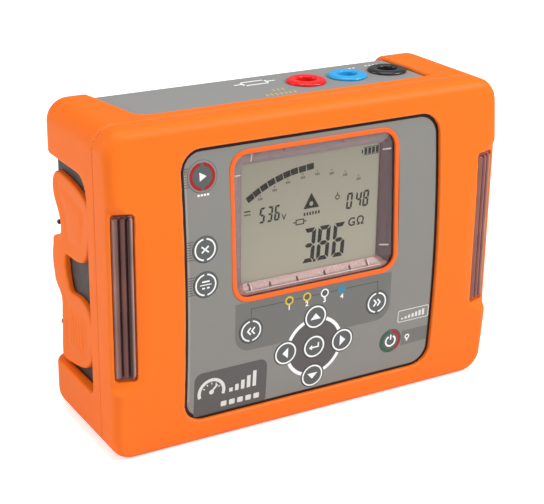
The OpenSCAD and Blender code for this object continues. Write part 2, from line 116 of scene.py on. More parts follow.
def make(name, verts, faces, mats, slot=None, replaces=(), body="housing", face_mats=None,
         smooth=True, normals=None, angle=None):
    mesh = bpy.data.meshes.new(name)
    mesh.from_pydata(to_world(verts).tolist(), [], [list(map(int, f)) for f in faces])
    mesh.validate(clean_customdata=False)
    mesh.update()
    for mat in mats if isinstance(mats, list) else [mats]:
        mesh.materials.append(mat)
    # validate() may drop faces, and then the list no longer fits
    if face_mats is not None and len(face_mats) == len(mesh.polygons):
        mesh.polygons.foreach_set("material_index", np.asarray(face_mats, np.int32))
    mesh.polygons.foreach_set("use_smooth", np.full(len(mesh.polygons), bool(smooth)))
    if angle is not None:
        mesh.set_sharp_from_angle(angle=math.radians(angle))
    if normals is not None:
        mesh.normals_split_custom_set_from_vertices(np.asarray(normals, float).tolist())
    obj = bpy.data.objects.new(name, mesh)
    COLLECTION.objects.link(obj)
    if body:
        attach(obj, body)
    if slot:
        tag(replaces)
    return obj


# ------------------------------------------------------------------ shader helpers
def set_inputs(tree, target, inputs):
    """Links the inputs given as sockets and sets the others."""
    for key, value in inputs.items():
        if isinstance(value, bpy.types.NodeSocket):
            tree.links.new(value, target.inputs[key])
        else:
            target.inputs[key].default_value = value


def node(tree, kind, inputs=None, **settings):
    made = tree.nodes.new("ShaderNode" + kind)
    for key, value in settings.items():
        setattr(made, key, value)
    set_inputs(tree, made, inputs or {})
    return made


def object_coords(tree):
    return node(tree, "TexCoord").outputs["Object"]


def noise(tree, coords, scale, **more):
    return node(tree, "TexNoise", {"Vector": coords, "Scale": scale, **more}).outputs["Fac"]


def new_material(name):
    material = bpy.data.materials.new(name)
    material.use_nodes = True
    return material, material.node_tree


def plastic(name, color, rough=0.5, metallic=0.0, spec=0.5, coat=0.0, coat_rough=0.1,
            grain=None, mottle=(60.0, 0.05), rough_var=0.06, edge_wear_and_highlight=None, lines=None):
    """Principled material with mottled colour and roughness.

    mottle = (noise scale, share of colour varied); grain = (noise scale, strength, height mm);
    edge_wear_and_highlight = (colour of the lighter convex edges, a painted highlight as well as wear,
    amount); lines = (pitch mm, strength, axis).
    With no colour, the caller links its own.
    """
    material, tree = new_material(name)
    surface = tree.nodes["Principled BSDF"]
    coords = object_coords(tree)
    set_inputs(tree, surface, {"Metallic": metallic, "Specular IOR Level": spec,
                               "Coat Weight": coat, "Coat Roughness": coat_rough})
    scale, amount = mottle
    if color is not None:
        rgb = np.array(color, float)
        tone = node(tree, "Mix", {"Factor": noise(tree, coords, scale, Detail=4.0),
                                  "A": (*np.clip(rgb * (1 - amount), 0, 1), 1),
                                  "B": (*np.clip(rgb * (1 + amount), 0, 1), 1)},
                    data_type="RGBA").outputs["Result"]
        # convex edges are lightened: a painted edge highlight, broken up by noise like wear
        if edge_wear_and_highlight:
            edges = node(tree, "NewGeometry").outputs["Pointiness"]
            edge_light_and_wear = node(tree, "MapRange", {"Value": edges, "From Min": 0.515,
                                             "From Max": 0.60, "To Max": edge_wear_and_highlight[1]})
            broken = node(tree, "Math", {0: edge_light_and_wear.outputs["Result"],
                                         1: noise(tree, coords, 240.0, Detail=6.0)},
                          operation="MULTIPLY")
            tone = node(tree, "Mix", {"Factor": broken.outputs["Value"], "A": tone,
                                      "B": (*edge_wear_and_highlight[0], 1)}, data_type="RGBA").outputs["Result"]
        set_inputs(tree, surface, {"Base Color": tone})
    roughness = node(tree, "MapRange", {"Value": noise(tree, coords, scale * 7, Detail=5.0),
                                        "To Min": max(0.0, rough - rough_var),
                                        "To Max": min(1.0, rough + rough_var)})
    set_inputs(tree, surface, {"Roughness": roughness.outputs["Result"]})
    normal = {}
    if grain:
        height = noise(tree, coords, grain[0], Detail=3.0, Roughness=0.6)
        bump = node(tree, "Bump", {"Height": height, "Strength": grain[1],
                                   "Distance": grain[2] * MM})
        normal = {"Normal": bump.outputs["Normal"]}
    if lines:
        pitch, strength, axis = lines
        place = node(tree, "SeparateXYZ", {"Vector": coords}).outputs[axis]
        phase = node(tree, "Math", {0: place, 1: 2 * math.pi / (pitch * MM)},
                     operation="MULTIPLY")
        wave = node(tree, "Math", {0: phase.outputs["Value"]}, operation="SINE")
        bump = node(tree, "Bump", {"Height": wave.outputs["Value"], "Strength": strength,
                                   "Distance": 0.1 * MM, **normal})
        normal = {"Normal": bump.outputs["Normal"]}
    set_inputs(tree, surface, normal)
    if normal and coat:
        set_inputs(tree, surface, {"Coat Normal": normal["Normal"]})
    return material


def clear_sheet(name, tint, amount, rough=0.06):
    """Mostly transparent, with a glossy skin that grows towards grazing angles."""
    material, tree = new_material(name)
    tree.nodes.remove(tree.nodes["Principled BSDF"])
    through = node(tree, "BsdfTransparent", {"Color": (*tint, 1)})
    gloss = node(tree, "BsdfGlossy", {"Roughness": rough})
    uneven = node(tree, "MapRange", {"Value": noise(tree, object_coords(tree), 90.0),
                                     "To Min": rough * 0.6, "To Max": rough * 1.6})
    set_inputs(tree, gloss, {"Roughness": uneven.outputs["Result"]})
    fresnel = node(tree, "Fresnel", {"IOR": 1.45})
    share = node(tree, "Math", {0: fresnel.outputs["Fac"], 1: amount}, operation="MULTIPLY")
    mixed = node(tree, "MixShader", {"Fac": share.outputs["Value"], 1: through.outputs["BSDF"],
                                     2: gloss.outputs["BSDF"]})
    set_inputs(tree, tree.nodes["Material Output"], {"Surface": mixed.outputs["Shader"]})
    return material


def srgb(*rgb):
    """Linear colour from 0-255 display values."""
    shares = [v / 255.0 for v in rgb]
    return tuple(v / 12.92 if v <= 0.04045 else ((v + 0.055) / 1.055) ** 2.4 for v in shares)


def ink(name, rgb, rough=0.5, spec=0.3, mottle=(60, 0.05), grain=None):
    return plastic("print_" + name, srgb(*rgb), rough=rough, spec=spec, mottle=mottle, grain=grain)


# ------------------------------------------------------------------ materials
FINE = (4200, 0.25, 0.03)                                 # grain of the keypad's sheet
# its lighter convex edges are a painted highlight as well as wear
ORANGE = plastic("orange_rubber", (0.985, 0.178, 0.006), spec=0.26, grain=(2600, 0.22, 0.05),
                 mottle=(35, 0.035), rough_var=0.05, edge_wear_and_highlight=((1.0, 0.42, 0.16), 0.5))
ORANGE_RING = plastic("orange_ring", (0.95, 0.145, 0.012), rough=0.44, spec=0.3,
                      grain=(2600, 0.15, 0.04), mottle=(80, 0.03))
# its lighter convex edges are a painted highlight as well as wear
CASE = plastic("case_dark", (0.040, 0.036, 0.037), rough=0.56, spec=0.4,
               grain=(1700, 0.5, 0.07), mottle=(50, 0.12), edge_wear_and_highlight=((0.16, 0.15, 0.15), 0.5))
PANEL = plastic("panel_grey", srgb(136, 135, 131), spec=0.35, grain=FINE,
                mottle=(25, 0.025), rough_var=0.04)
TOP_PANEL = plastic("top_panel_grey", srgb(146, 146, 145), rough=0.45, spec=0.4,
                    grain=(3000, 0.3, 0.04), mottle=(30, 0.03))
# dark maroon that paints the shade in the gap round the keypad panel
GAP_SHADE = plastic("gap_shade_maroon", (0.012, 0.004, 0.006), rough=0.35, spec=0.3,
                 mottle=(80, 0.3), grain=(2000, 0.2, 0.04))

MENU = ink("menu_grey", (114, 114, 111), spec=0.35, grain=FINE, mottle=(25, 0.03))
DARK = ink("dark_grey", (90, 88, 87), spec=0.35, grain=FINE, mottle=(25, 0.04))
LINE = ink("line", (82, 82, 78), mottle=(40, 0.04))
EDGE_GREY = ink("edge_grey", (158, 158, 154), mottle=(40, 0.04))
STRIPE = ink("stripe", (112, 112, 106), mottle=(40, 0.04))
WHITE = ink("white", (250, 250, 250), mottle=(60, 0.02))
SOFT_WHITE = ink("soft_white", (222, 222, 218), mottle=(60, 0.02))
RED = ink("red", (160, 16, 26), rough=0.42, spec=0.4, mottle=(60, 0.06))
GREEN = ink("green", (44, 98, 70), rough=0.45)
YELLOW = ink("yellow", (222, 190, 62), rough=0.45)
BLUE = ink("blue", (66, 132, 164), rough=0.45)
KEY_DARK = plastic("key_dark", srgb(88, 92, 92), rough=0.48, spec=0.4, grain=FINE,
                   mottle=(40, 0.05))

SMOKE = plastic("smoked_plastic", (0.15, 0.05, 0.042), rough=0.16, spec=0.45, coat=0.45,
                coat_rough=0.06, mottle=(90, 0.3), rough_var=0.05, grain=(500, 0.06, 0.05))
FRAME = plastic("frame_smoked", (0.26, 0.19, 0.20), rough=0.26, spec=0.6, coat=0.3,
                coat_rough=0.15, mottle=(500, 0.28), grain=(900, 0.5, 0.08))
# lighter pink copy of the frame's smoked plastic: painted light for the lower walls
FRAME_PAINTED_LIT = plastic("frame_lit_painted", (0.40, 0.20, 0.18), rough=0.34, spec=0.5, coat=0.3,
                     coat_rough=0.2, mottle=(1100, 0.55), grain=(1500, 0.7, 0.1))
# dark copy of the frame's smoked plastic: painted shade for the right walls
FRAME_PAINTED_SHADE = plastic("frame_shade_painted", (0.085, 0.032, 0.042), rough=0.22, spec=0.6, coat=0.5,
                     coat_rough=0.12, mottle=(500, 0.4), grain=(900, 0.5, 0.08))
# pale copy of the frame's smoked plastic: painted highlights on the raised bars
FRAME_PAINTED_HIGHLIGHT = plastic("frame_highlight_painted", (0.62, 0.58, 0.60), rough=0.2, spec=0.7, coat=0.4,
                      mottle=(200, 0.08))
SEGMENT = plastic("lcd_segment", srgb(26, 25, 22), rough=0.34, spec=0.4, mottle=(200, 0.08))
SEGMENT_FAINT = plastic("lcd_faint", srgb(88, 86, 78), rough=0.34, spec=0.4,
                        mottle=(200, 0.05))
GLASS = clear_sheet("clear_window", tint=(0.985, 0.98, 0.975), amount=0.16)

SOCKET_RED = plastic("socket_red", (0.950, 0.007, 0.008), rough=0.34, spec=0.3, coat=0.25,
                     grain=(2000, 0.08, 0.03), mottle=(60, 0.06))
SOCKET_BLUE = plastic("socket_blue", (0.018, 0.40, 0.86), rough=0.34, spec=0.35, coat=0.25,
                      grain=(2000, 0.08, 0.03), mottle=(60, 0.06))
SOCKET_BLACK = plastic("socket_black", (0.016, 0.015, 0.017), rough=0.32, coat=0.25,
                       grain=(2000, 0.1, 0.03), mottle=(60, 0.1))
BRASS = plastic("contact_brass", (0.62, 0.50, 0.27), rough=0.28, metallic=1.0,
                mottle=(120, 0.12), rough_var=0.1)
STEEL = plastic("zinc_steel", (0.55, 0.55, 0.56), rough=0.34, metallic=1.0,
                mottle=(120, 0.1), rough_var=0.12, grain=(2500, 0.15, 0.02))
BLACK_RUBBER = plastic("black_rubber", (0.012, 0.012, 0.012), rough=0.6, spec=0.35,
                       grain=(2200, 0.3, 0.05), mottle=(60, 0.15))
BOARD = plastic("pcb_green", (0.03, 0.17, 0.07), rough=0.4, coat=0.3, mottle=(90, 0.15),
                grain=(1200, 0.15, 0.03))
COMPONENT = plastic("component_dark", (0.03, 0.03, 0.032), grain=(1600, 0.3, 0.05),
                    mottle=(90, 0.15))
RELAY = plastic("relay_blue", (0.03, 0.09, 0.33), rough=0.4, grain=(1600, 0.2, 0.04),
                mottle=(90, 0.1))
FILM = plastic("film_orange", (0.55, 0.2, 0.03), rough=0.3, coat=0.4, mottle=(90, 0.12))
FERRITE = plastic("ferrite", (0.09, 0.065, 0.045), rough=0.6, grain=(1500, 0.5, 0.08),
                  mottle=(140, 0.25))
CELL = plastic("cell_jacket", (0.035, 0.09, 0.26), rough=0.28, coat=0.5, mottle=(60, 0.08))
RIBBON = plastic("flat_cable", (0.55, 0.55, 0.57), rough=0.45, mottle=(90, 0.06),
                 lines=(1.27, 0.8, "X"))
LABEL = plastic("blank_label", (0.52, 0.53, 0.55), rough=0.38, metallic=0.6,
                mottle=(60, 0.05), lines=(0.35, 0.15, "Z"))


def lcd_material():
    """Grey-green cell, darker towards its top."""
    material = plastic("lcd_cell", None, rough=0.34, spec=0.35, mottle=(9, 0), rough_var=0.03)
    tree = material.node_tree
    place = node(tree, "SeparateXYZ", {"Vector": object_coords(tree)})
    rise = node(tree, "MapRange", {"Value": place.outputs["Z"], "From Min": 0.074,
                                   "From Max": 0.128})
    tone = node(tree, "Mix", {"Factor": rise.outputs["Result"], "A": (*srgb(176, 173, 157), 1),
                              "B": (*srgb(155, 152, 138), 1)}, data_type="RGBA")
    set_inputs(tree, tree.nodes["Principled BSDF"], {"Base Color": tone.outputs["Result"]})
    return material


def painted_light_bands(name, middle_x, painted_light_stops):
    """Smoked plastic whose tone runs across the piece as painted highlights and painted shade; the stops
    are mm either side of middle_x.
    """
    half = 4.5
    material = plastic(name, None, rough=0.17, spec=0.35, coat=0.3, coat_rough=0.06,
                       mottle=(90, 0), rough_var=0.05, grain=(500, 0.06, 0.05))
    tree = material.node_tree
    coords = object_coords(tree)
    place = node(tree, "SeparateXYZ", {"Vector": coords})
    across = node(tree, "MapRange", {"Value": place.outputs["X"],
                                     "From Min": (middle_x - half) * MM,
                                     "From Max": (middle_x + half) * MM})
    # the ramp paints highlights at the rods' outer edges and shade in the grooves between them
    painted_light_ramp = node(tree, "ValToRGB", {"Fac": across.outputs["Result"]})
    elements = painted_light_ramp.color_ramp.elements
    while len(elements) < len(painted_light_stops):
        elements.new(0.5)
    for element, (x, _) in zip(elements, painted_light_stops):
        element.position = (x + half) / (2 * half)
    for element, (_, rgb) in zip(elements, painted_light_stops):
        element.color = (*[v * 0.95 for v in srgb(*rgb)], 1)
    blotch = node(tree, "MapRange", {"Value": noise(tree, coords, 55.0), "From Min": 0.3,
                                     "From Max": 0.7, "To Min": 0.72, "To Max": 1.12})
    tone = node(tree, "Mix", {"Factor": 1.0, "A": painted_light_ramp.outputs["Color"],
                              "B": blotch.outputs["Result"]},
                data_type="RGBA", blend_type="MULTIPLY")
    set_inputs(tree, tree.nodes["Principled BSDF"], {"Base Color": tone.outputs["Result"]})
    return material


CAD_MATS = {
    CASE: "front_case rear_case battery_cover",
    BLACK_RUBBER: "case_seal cover_seal",
    STEEL: "case_screws cover_screws board_screws socket_nuts data_socket dome_switches "
           "battery_contacts battery_springs",
    BRASS: "board_standoffs socket_contacts",
    SOCKET_BLACK: "cover_studs",
    COMPONENT: "charging_socket buzzer",
    BOARD: "keypad_board main_board terminal_board",
    FERRITE: "hv_transformer",
    RELAY: "relays",
    FILM: "hv_capacitors",
    RIBBON: "ribbon_cable",
    CELL: "battery_cells",
    LABEL: "rating_plate",
    lcd_material(): "lcd_module",
}
for mat, nodes in CAD_MATS.items():
    for name in nodes.split():
        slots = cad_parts[name].data.materials
        slots.clear()
        slots.append(mat)


# ------------------------------------------------------------------ distance fields
def hypot(a, b):
    return np.sqrt(a * a + b * b)


def rect_field(u, v, half_u, half_v, r):
    """Distance to a rounded rectangle about the origin."""
    out_u = np.abs(u) - (half_u - r)
    out_v = np.abs(v) - (half_v - r)
    return (np.minimum(np.maximum(out_u, out_v), 0)
            + hypot(np.maximum(out_u, 0), np.maximum(out_v, 0)) - r)


def round_max(a, b, r):
    return np.minimum(np.maximum(a, b), -r) + hypot(np.maximum(a + r, 0), np.maximum(b + r, 0))


def round_min(a, b, r):
    return -round_max(-a, -b, r)


def polygon_field(u, v, pts):
    dist = (u - pts[0, 0]) ** 2 + (v - pts[0, 1]) ** 2
    sign = np.ones_like(u)
    j = len(pts) - 1
    for i in range(len(pts)):
        edge_u, edge_v = pts[j] - pts[i]
        to_u, to_v = u - pts[i, 0], v - pts[i, 1]
        t = np.clip((to_u * edge_u + to_v * edge_v) / (edge_u * edge_u + edge_v * edge_v), 0, 1)
        off_u, off_v = to_u - edge_u * t, to_v - edge_v * t
        dist = np.minimum(dist, off_u * off_u + off_v * off_v)
        above = v >= pts[i, 1]
        below = v < pts[j, 1]
        beside = edge_u * to_v > edge_v * to_u
        sign = np.where((above & below & beside) | (~above & ~below & ~beside), -sign, sign)
        j = i
    return sign * np.sqrt(dist)


def gradient(field, points):
    e = 0.03
    x, y, z = points.T
    slopes = [field(x + e, y, z) - field(x - e, y, z),
              field(x, y + e, z) - field(x, y - e, z),
              field(x, y, z + e) - field(x, y, z - e)]
    return np.stack(slopes, 1) / (2 * e)


def unit_gradient(field, points):
    slopes = gradient(field, points)
    return slopes / np.maximum(np.linalg.norm(slopes, axis=1, keepdims=True), 1e-9)


def field_mesh(field, low, high, cell):
    """Meshes the zero surface, then pulls each vertex onto it: points, faces and normals."""
    low = np.array(low, float)
    high = np.array(high, float)
    count = np.ceil((high - low) / cell).astype(int) + 1
    axes = [low[i] + cell * np.arange(count[i]) for i in range(3)]
    values = field(*np.meshgrid(*axes, indexing="ij")).astype(np.float32)
    grid = vdb.FloatGrid(background=3.0)
    grid.copyFromArray(np.clip(values, -3 * cell, 3 * cell))
    grid.transform = vdb.createLinearTransform(voxelSize=cell)
    points, tris, quads = grid.convertToPolygons(isovalue=0.0, adaptivity=0.0)
    points = np.asarray(points, float) + low
    for _ in range(3):
        slope = gradient(field, points)
        value = field(points[:, 0], points[:, 1], points[:, 2])
        step = (value / np.maximum((slope * slope).sum(1), 0.2))[:, None] * slope
        length = np.linalg.norm(step, axis=1, keepdims=True)
        step *= np.minimum(1.0, 0.6 * cell / np.maximum(length, 1e-9))
        points = points - step
    normals = unit_gradient(field, points)
    quads = np.asarray(quads)
    faces = list(quads) + list(np.asarray(tris))
    if len(quads):
        side_a = points[quads[:, 1]] - points[quads[:, 0]]
        side_b = points[quads[:, 3]] - points[quads[:, 0]]
        facing = np.einsum("ij,ij->i", np.cross(side_a, side_b), normals[quads[:, 0]])
        if np.median(np.sign(facing)) < 0:
            faces = [f[::-1] for f in faces]
    return points, faces, normals


def field_piece(name, field, low, high, cell, mat, slot, replaces=()):
    points, faces, normals = field_mesh(field, low, high, cell)
    make(name, points, faces, mat, slot, replaces, normals=normals)


# ------------------------------------------------------------------ orange bumpers
CORNER_R = 10.5                                           # upright corners seen from the front
GRIP_X, GRIP_Y, GRIP_Z = 93.2, 3.9, 77.5                  # middle of the right grip insert
GRIP_TILT = math.radians(17.0)
OPENING_Z = 75.2                                          # opening round the keypad panel
OPENING_HALF_W, OPENING_HALF_H, OPENING_R = 66.2, 63.1, 10.0
MID_Z = HEIGHT / 2


def grip_local(x, y, z, side):
    """Coordinates about a grip insert, whose face is turned round z."""
    dx, dy = x - side * GRIP_X, y - GRIP_Y
    c, s = math.cos(side * GRIP_TILT), math.sin(side * GRIP_TILT)
    return dx * c + dy * s, -dx * s + dy * c, z - GRIP_Z


def outline(x, z):
    return rect_field(x, z - MID_Z, WIDTH / 2, HEIGHT / 2, CORNER_R)


def front_bumper(x, y, z):
    face = hypot(y - CROWN_R, z - CROWN_Z) - CROWN_R
    d = round_max(outline(x, z), face, 4.6)
    for side in (-1, 1):
        # scoop that leads into the grip insert, and the slot the insert sits in
        across, deep, along = grip_local(x, y, z, side)
        out = side * across
        floor = deep * 0.99905 - out * 0.04362 + 0.75
        reach = np.where(along > 0, 39.4 + 0.40 * out, 40.3 + 0.18 * out)
        ends = (np.abs(along) - reach + 0.55 * floor) * 0.84
        d = round_max(d, -round_max(floor, ends, 1.8), 1.0)
        slot = np.maximum(rect_field(across, along, 4.95, 38.1, 1.8), deep - 1.25)
        d = round_max(d, -slot, 0.35)
    d = round_max(d, y - 16.85, 0.45)
    opening = rect_field(x, z - OPENING_Z, OPENING_HALF_W, OPENING_HALF_H, OPENING_R)
    d = round_max(d, -opening, 0.7)
    front_cavity = np.maximum(rect_field(x, z - MID_Z, 81.2, 72.2, 7.0), face + 2.3)
    rear_cavity = np.maximum(rect_field(x, z - MID_Z, 94.4, 72.2, 7.2), 9.2 - y)
    return np.maximum(d, -np.minimum(front_cavity, rear_cavity))


def top_field(x, y, gap=0.0):
    """Outline of the top opening, whose left edge slants outwards towards the back."""
    slanted = np.where(x < 0, x * 75.2 / (75.2 + np.maximum(0, y - 30.8) * 0.1486), x)
    return rect_field(slanted, y - 124.8, 75.2 - gap, 100.0 - gap, np.where(x < 0, 6.0, 2.6))


def rear_bumper(x, y, z):
    d = round_max(outline(x, z), y - 75.0, 10.5)
    d = round_max(d, 17.2 - y, 0.45)
    cavity = round_max(rect_field(x, z - MID_Z, 94.4, 72.2, 7.2), y - 72.2, 8.2)
    sides = np.minimum(rect_field(y - 126.0, z - 75.0, 100.0, 50.3, 9.5),
                       rect_field(y - 126.0, z - 50.0, 100.0, 25.3, 3.5))
    sides = np.maximum(sides, 80.0 - np.abs(x))
    top = np.maximum(top_field(x, y), 138.0 - z)
    back = np.minimum(np.abs(z - 75.0) - 50.3, rect_field(x + 0.4, z - 160.0, 75.6, 100.0, 8.0))
    back = np.minimum(back, rect_field(x, z - 47.6, 84.0, 40.0, 6.0))
    back = np.maximum(back, 60.0 - y)
    d = round_max(d, -np.minimum(np.minimum(sides, top), back), 1.3)
    return round_max(d, -cavity, 0.3)


field_piece("front_bumper_skin", front_bumper, (-102, -2, -2), (102, 19, 152), 0.9,
            ORANGE, "orange_rubber", ["front_bumper"])
field_piece("rear_bumper_skin", rear_bumper, (-102, 15, -2), (102, 77, 152), 1.0,
            ORANGE, "orange_rubber", ["rear_bumper"])


# ------------------------------------------------------------------ flat shapes in x, z
# A path is an array of points; a shape is (points, faces).
def arc(x, z, r, start, end, n):
    t = np.radians(np.linspace(start, end, n))
    return np.stack([x + r * np.cos(t), z + r * np.sin(t)], 1)


def circle(x, z, r, n):
    return arc(x, z, r, 0, 360, n + 1)[:-1]


def rect_path(x0, x1, z0, z1, r, n=9):
    """Rounded rectangle; r is one radius or (lower right, upper right, upper left, lower left)."""
    lr, ur, ul, ll = r if isinstance(r, tuple) else (r, r, r, r)
    path = np.concatenate([arc(x1 - lr, z0 + lr, lr, -90, 0, n),
                           arc(x1 - ur, z1 - ur, ur, 0, 90, n),
                           arc(x0 + ul, z1 - ul, ul, 90, 180, n),
                           arc(x0 + ll, z0 + ll, ll, 180, 270, n)])
    return path[np.linalg.norm(path - np.roll(path, 1, 0), axis=1) > 1e-4]


def centred_path(w, h, r, x, z, n=9):
    return rect_path(x - w / 2, x + w / 2, z - h / 2, z + h / 2, r, n)


def curve_shape(curve):
    """Flat mesh of a temporary curve, which is then removed."""
    obj = bpy.data.objects.new("tmp", curve)
    COLLECTION.objects.link(obj)
    bpy.context.view_layer.update()
    mesh = bpy.data.meshes.new_from_object(obj)
    points = np.array([v.co[:2] for v in mesh.vertices], float).reshape(-1, 2)
    faces = [list(p.vertices) for p in mesh.polygons]
    bpy.data.objects.remove(obj)
    bpy.data.curves.remove(curve)
    bpy.data.meshes.remove(mesh)
    return points, faces


def fill(paths):
    """Fills between closed paths; inner ones are holes."""
    curve = bpy.data.curves.new("tmp", "CURVE")
    curve.dimensions = "2D"
    curve.fill_mode = "BOTH"
    for path in paths:
        spline = curve.splines.new("POLY")
        spline.points.add(len(path) - 1)
        for point, (x, z) in zip(spline.points, path):
            point.co = (float(x), float(z), 0, 1)
        spline.use_cyclic_u = True
    return curve_shape(curve)


def text(body, size, x, z, weight):
    curve = bpy.data.curves.new("tmp", "FONT")
    curve.body = body
    curve.size = size
    curve.align_x = "CENTER"
    curve.align_y = "CENTER"
    curve.offset = weight
    curve.resolution_u = 4
    points, faces = curve_shape(curve)
    return points + np.array([x, z]), faces


def strip(inner, outer):
    n = len(inner)
    return np.concatenate([inner, outer]), [[i, i + 1, n + i + 1, n + i] for i in range(n - 1)]


def band(x, z, r0, r1, start, end, n):
    return strip(arc(x, z, r0, start, end, n), arc(x, z, r1, start, end, n))


def ring(x, z, r0, r1, n):
    return band(x, z, r0, r1, 0, 360, n + 1)


def split_ring(x, z, r0, r1):
    """Ring with a gap above and below."""
    return [band(x, z, r0, r1, 99, 261, 34), band(x, z, r0, r1, -81, 81, 34)]


def poly(path):
    return np.asarray(path, float), [list(range(len(path)))]


def rect(x0, z0, x1, z1):
    return poly([(x0, z0), (x1, z0), (x1, z1), (x0, z1)])


def bar(x0, z0, x1, z1, w):
    a, b = np.array([x0, z0], float), np.array([x1, z1], float)
    along = (b - a) / np.linalg.norm(b - a)
    half = np.array([-along[1], along[0]]) * w / 2
    return poly([a - half, b - half, b + half, a + half])


def bars(*rows):
    return [bar(*row) for row in rows]


def dashes(count, x, pitch, z, length, w):
    """Row of level bars; x is the first one's left end."""
    return [bar(x + i * pitch, z, x + i * pitch + length, z, w) for i in range(count)]


def merge(shapes):
    points, faces, start = [], [], 0
    for verts, polys in shapes:
        points.append(verts)
        faces += [[i + start for i in f] for f in polys]
        start += len(verts)
    return np.concatenate(points), faces


def slab(points, faces, depth, thick=0.05, step=None, weld=True):
    """Closed thin slab from a flat shape; depth(x, z) gives the y of its front.

    step cuts the shape into level strips so that it can bend with the crown.
    """
    bm = bmesh.new()
    verts = [bm.verts.new((float(p[0]), 0.0, float(p[1]))) for p in points]
    for f in faces:
        try:
            bm.faces.new([verts[i] for i in f])
        except ValueError:      # bmesh refuses a repeated face
            pass
    if weld:
        bmesh.ops.remove_doubles(bm, verts=bm.verts, dist=0.002)
    if step:
        z = float(points[:, 1].min()) + step
        while z < float(points[:, 1].max()) - 0.3:
            bmesh.ops.bisect_plane(bm, geom=bm.verts[:] + bm.edges[:] + bm.faces[:],
                                   plane_co=(0, 0, z), plane_no=(0, 0, 1))
            z += step
    bm.verts.ensure_lookup_table()
    bm.verts.index_update()
    flat = np.array([v.co for v in bm.verts], float)
    fronts = []
    for face in bm.faces:
        ids = [v.index for v in face.verts]
        area = 0.0
        for i, j in zip(ids, ids[1:] + ids[:1]):
            area += flat[i][0] * flat[j][2] - flat[j][0] * flat[i][2]
        fronts.append(ids if area > 0 else ids[::-1])     # counter-clockwise faces -y
    bm.free()
    n = len(flat)
    front = np.stack([flat[:, 0], depth(flat[:, 0], flat[:, 2]), flat[:, 2]], 1)
    back = front + np.array([0, thick, 0])
    out = [list(f) for f in fronts] + [[i + n for i in f[::-1]] for f in fronts]
    edges = {}                                            # a dictionary keeps their order
    for f in fronts:
        for pair in zip(f, f[1:] + f[:1]):
            edges[pair] = True
    for a, b in edges:
        if (b, a) not in edges:
            out.append([b, a, a + n, b + n])
    return np.concatenate([front, back]), out


def printed(name, mat, depth, shapes, thick=0.05, step=None, weld=True, **options):
    points, faces = slab(*merge(shapes), depth, thick, step, weld)
    return make(name, points, faces, mat, smooth=False, **{"slot": "panel_grey", **options})


# ------------------------------------------------------------------ solids from rows of points
def tube_faces(rows, n, closed=False):
    """Quads between rows of n points; the ends are joined when closed, else capped."""
    faces = []
    for i in range(rows if closed else rows - 1):
        j = (i + 1) % rows
        for k in range(n):
            m = (k + 1) % n
            faces.append([i * n + k, i * n + m, j * n + m, j * n + k])
    if not closed:
        faces.append(list(range(n))[::-1])
        faces.append([(rows - 1) * n + k for k in range(n)])
    return faces


def orient(points, faces):
    """Flips the faces when the closed mesh is inside out."""
    points = np.asarray(points, float)
    volume = 0.0
    for f in faces:
        for i in range(1, len(f) - 1):
            volume += np.dot(points[f[0]], np.cross(points[f[i]], points[f[i + 1]]))
    return faces if volume > 0 else [list(f)[::-1] for f in faces]


def loft(rows, closed=True):
    """rows: (path in x, z; depth function or number)."""
    points = []
    for path, depth in rows:
        y = depth(path[:, 0], path[:, 1]) if callable(depth) else np.full(len(path), depth)
        points.append(np.stack([path[:, 0], y, path[:, 1]], 1))
    points = np.concatenate(points)
    return points, orient(points, tube_faces(len(rows), len(rows[0][0]), closed))


def revolve(x, y, profile, n=64):
    """Turns (radius, z) stations round an upright axis."""
    points = []
    for r, z in profile:
        for k in range(n):
            t = 2 * math.pi * k / n
            points.append((x + r * math.cos(t), y + r * math.sin(t), z))
    return np.array(points, float), tube_faces(len(profile), n)


def bead(a, b, r):
    """A round-ended bar from a to b."""
    a, b = np.array(a, float), np.array(b, float)
    axis = (b - a) / np.linalg.norm(b - a)
    side = np.cross(axis, [0.3, 0.9, 0.2])
    side /= np.linalg.norm(side)
    other = np.cross(axis, side)
    # (place along the end, radius), both as shares of r
    ends = [(-1.0, 0.02), (-0.92, 0.39), (-0.7, 0.71), (-0.38, 0.92), (0, 1.0)]
    rows = [(a + axis * r * s, r * q) for s, q in ends]
    rows += [(b - axis * r * s, r * q) for s, q in ends[::-1]]
    n, points = 14, []
    for middle, radius in rows:
        for k in range(n):
            t = 2 * math.pi * k / n
            points.append(middle + radius * (math.cos(t) * side + math.sin(t) * other))
    return np.array(points), tube_faces(len(rows), n)


def join(parts):
    return merge([(points, orient(points, faces)) for points, faces in parts])


# ------------------------------------------------------------------ keypad panel
PANEL_DEPTH = 1.5                                         # behind the crown
KEYS = ["test_key", "escape_key", "select_key", "previous_key", "next_key", "up_key",
        "down_key", "left_key", "right_key", "enter_key", "power_key"]
KEY_PLACE = {}                                            # middle x, middle z, radius
for key in KEYS:
    low, high = node_box(key)
    KEY_PLACE[key] = ((low[0] + high[0]) / 2, (low[2] + high[2]) / 2, (high[0] - low[0]) / 2)

(PANEL_X0, _, PANEL_Z0), (PANEL_X1, _, PANEL_Z1) = node_box("keypad_overlay")
(RING_X0, _, RING_Z0), (RING_X1, _, RING_Z1) = node_box("display_ring")


def key_hole(key, gap=0.16):
    x, z, r = KEY_PLACE[key]
    return circle(x, z, r + gap, 64)


def panel_path(inset, r):
    return rect_path(PANEL_X0 + inset, PANEL_X1 - inset, PANEL_Z0 + inset, PANEL_Z1 - inset,
                     r, 13)


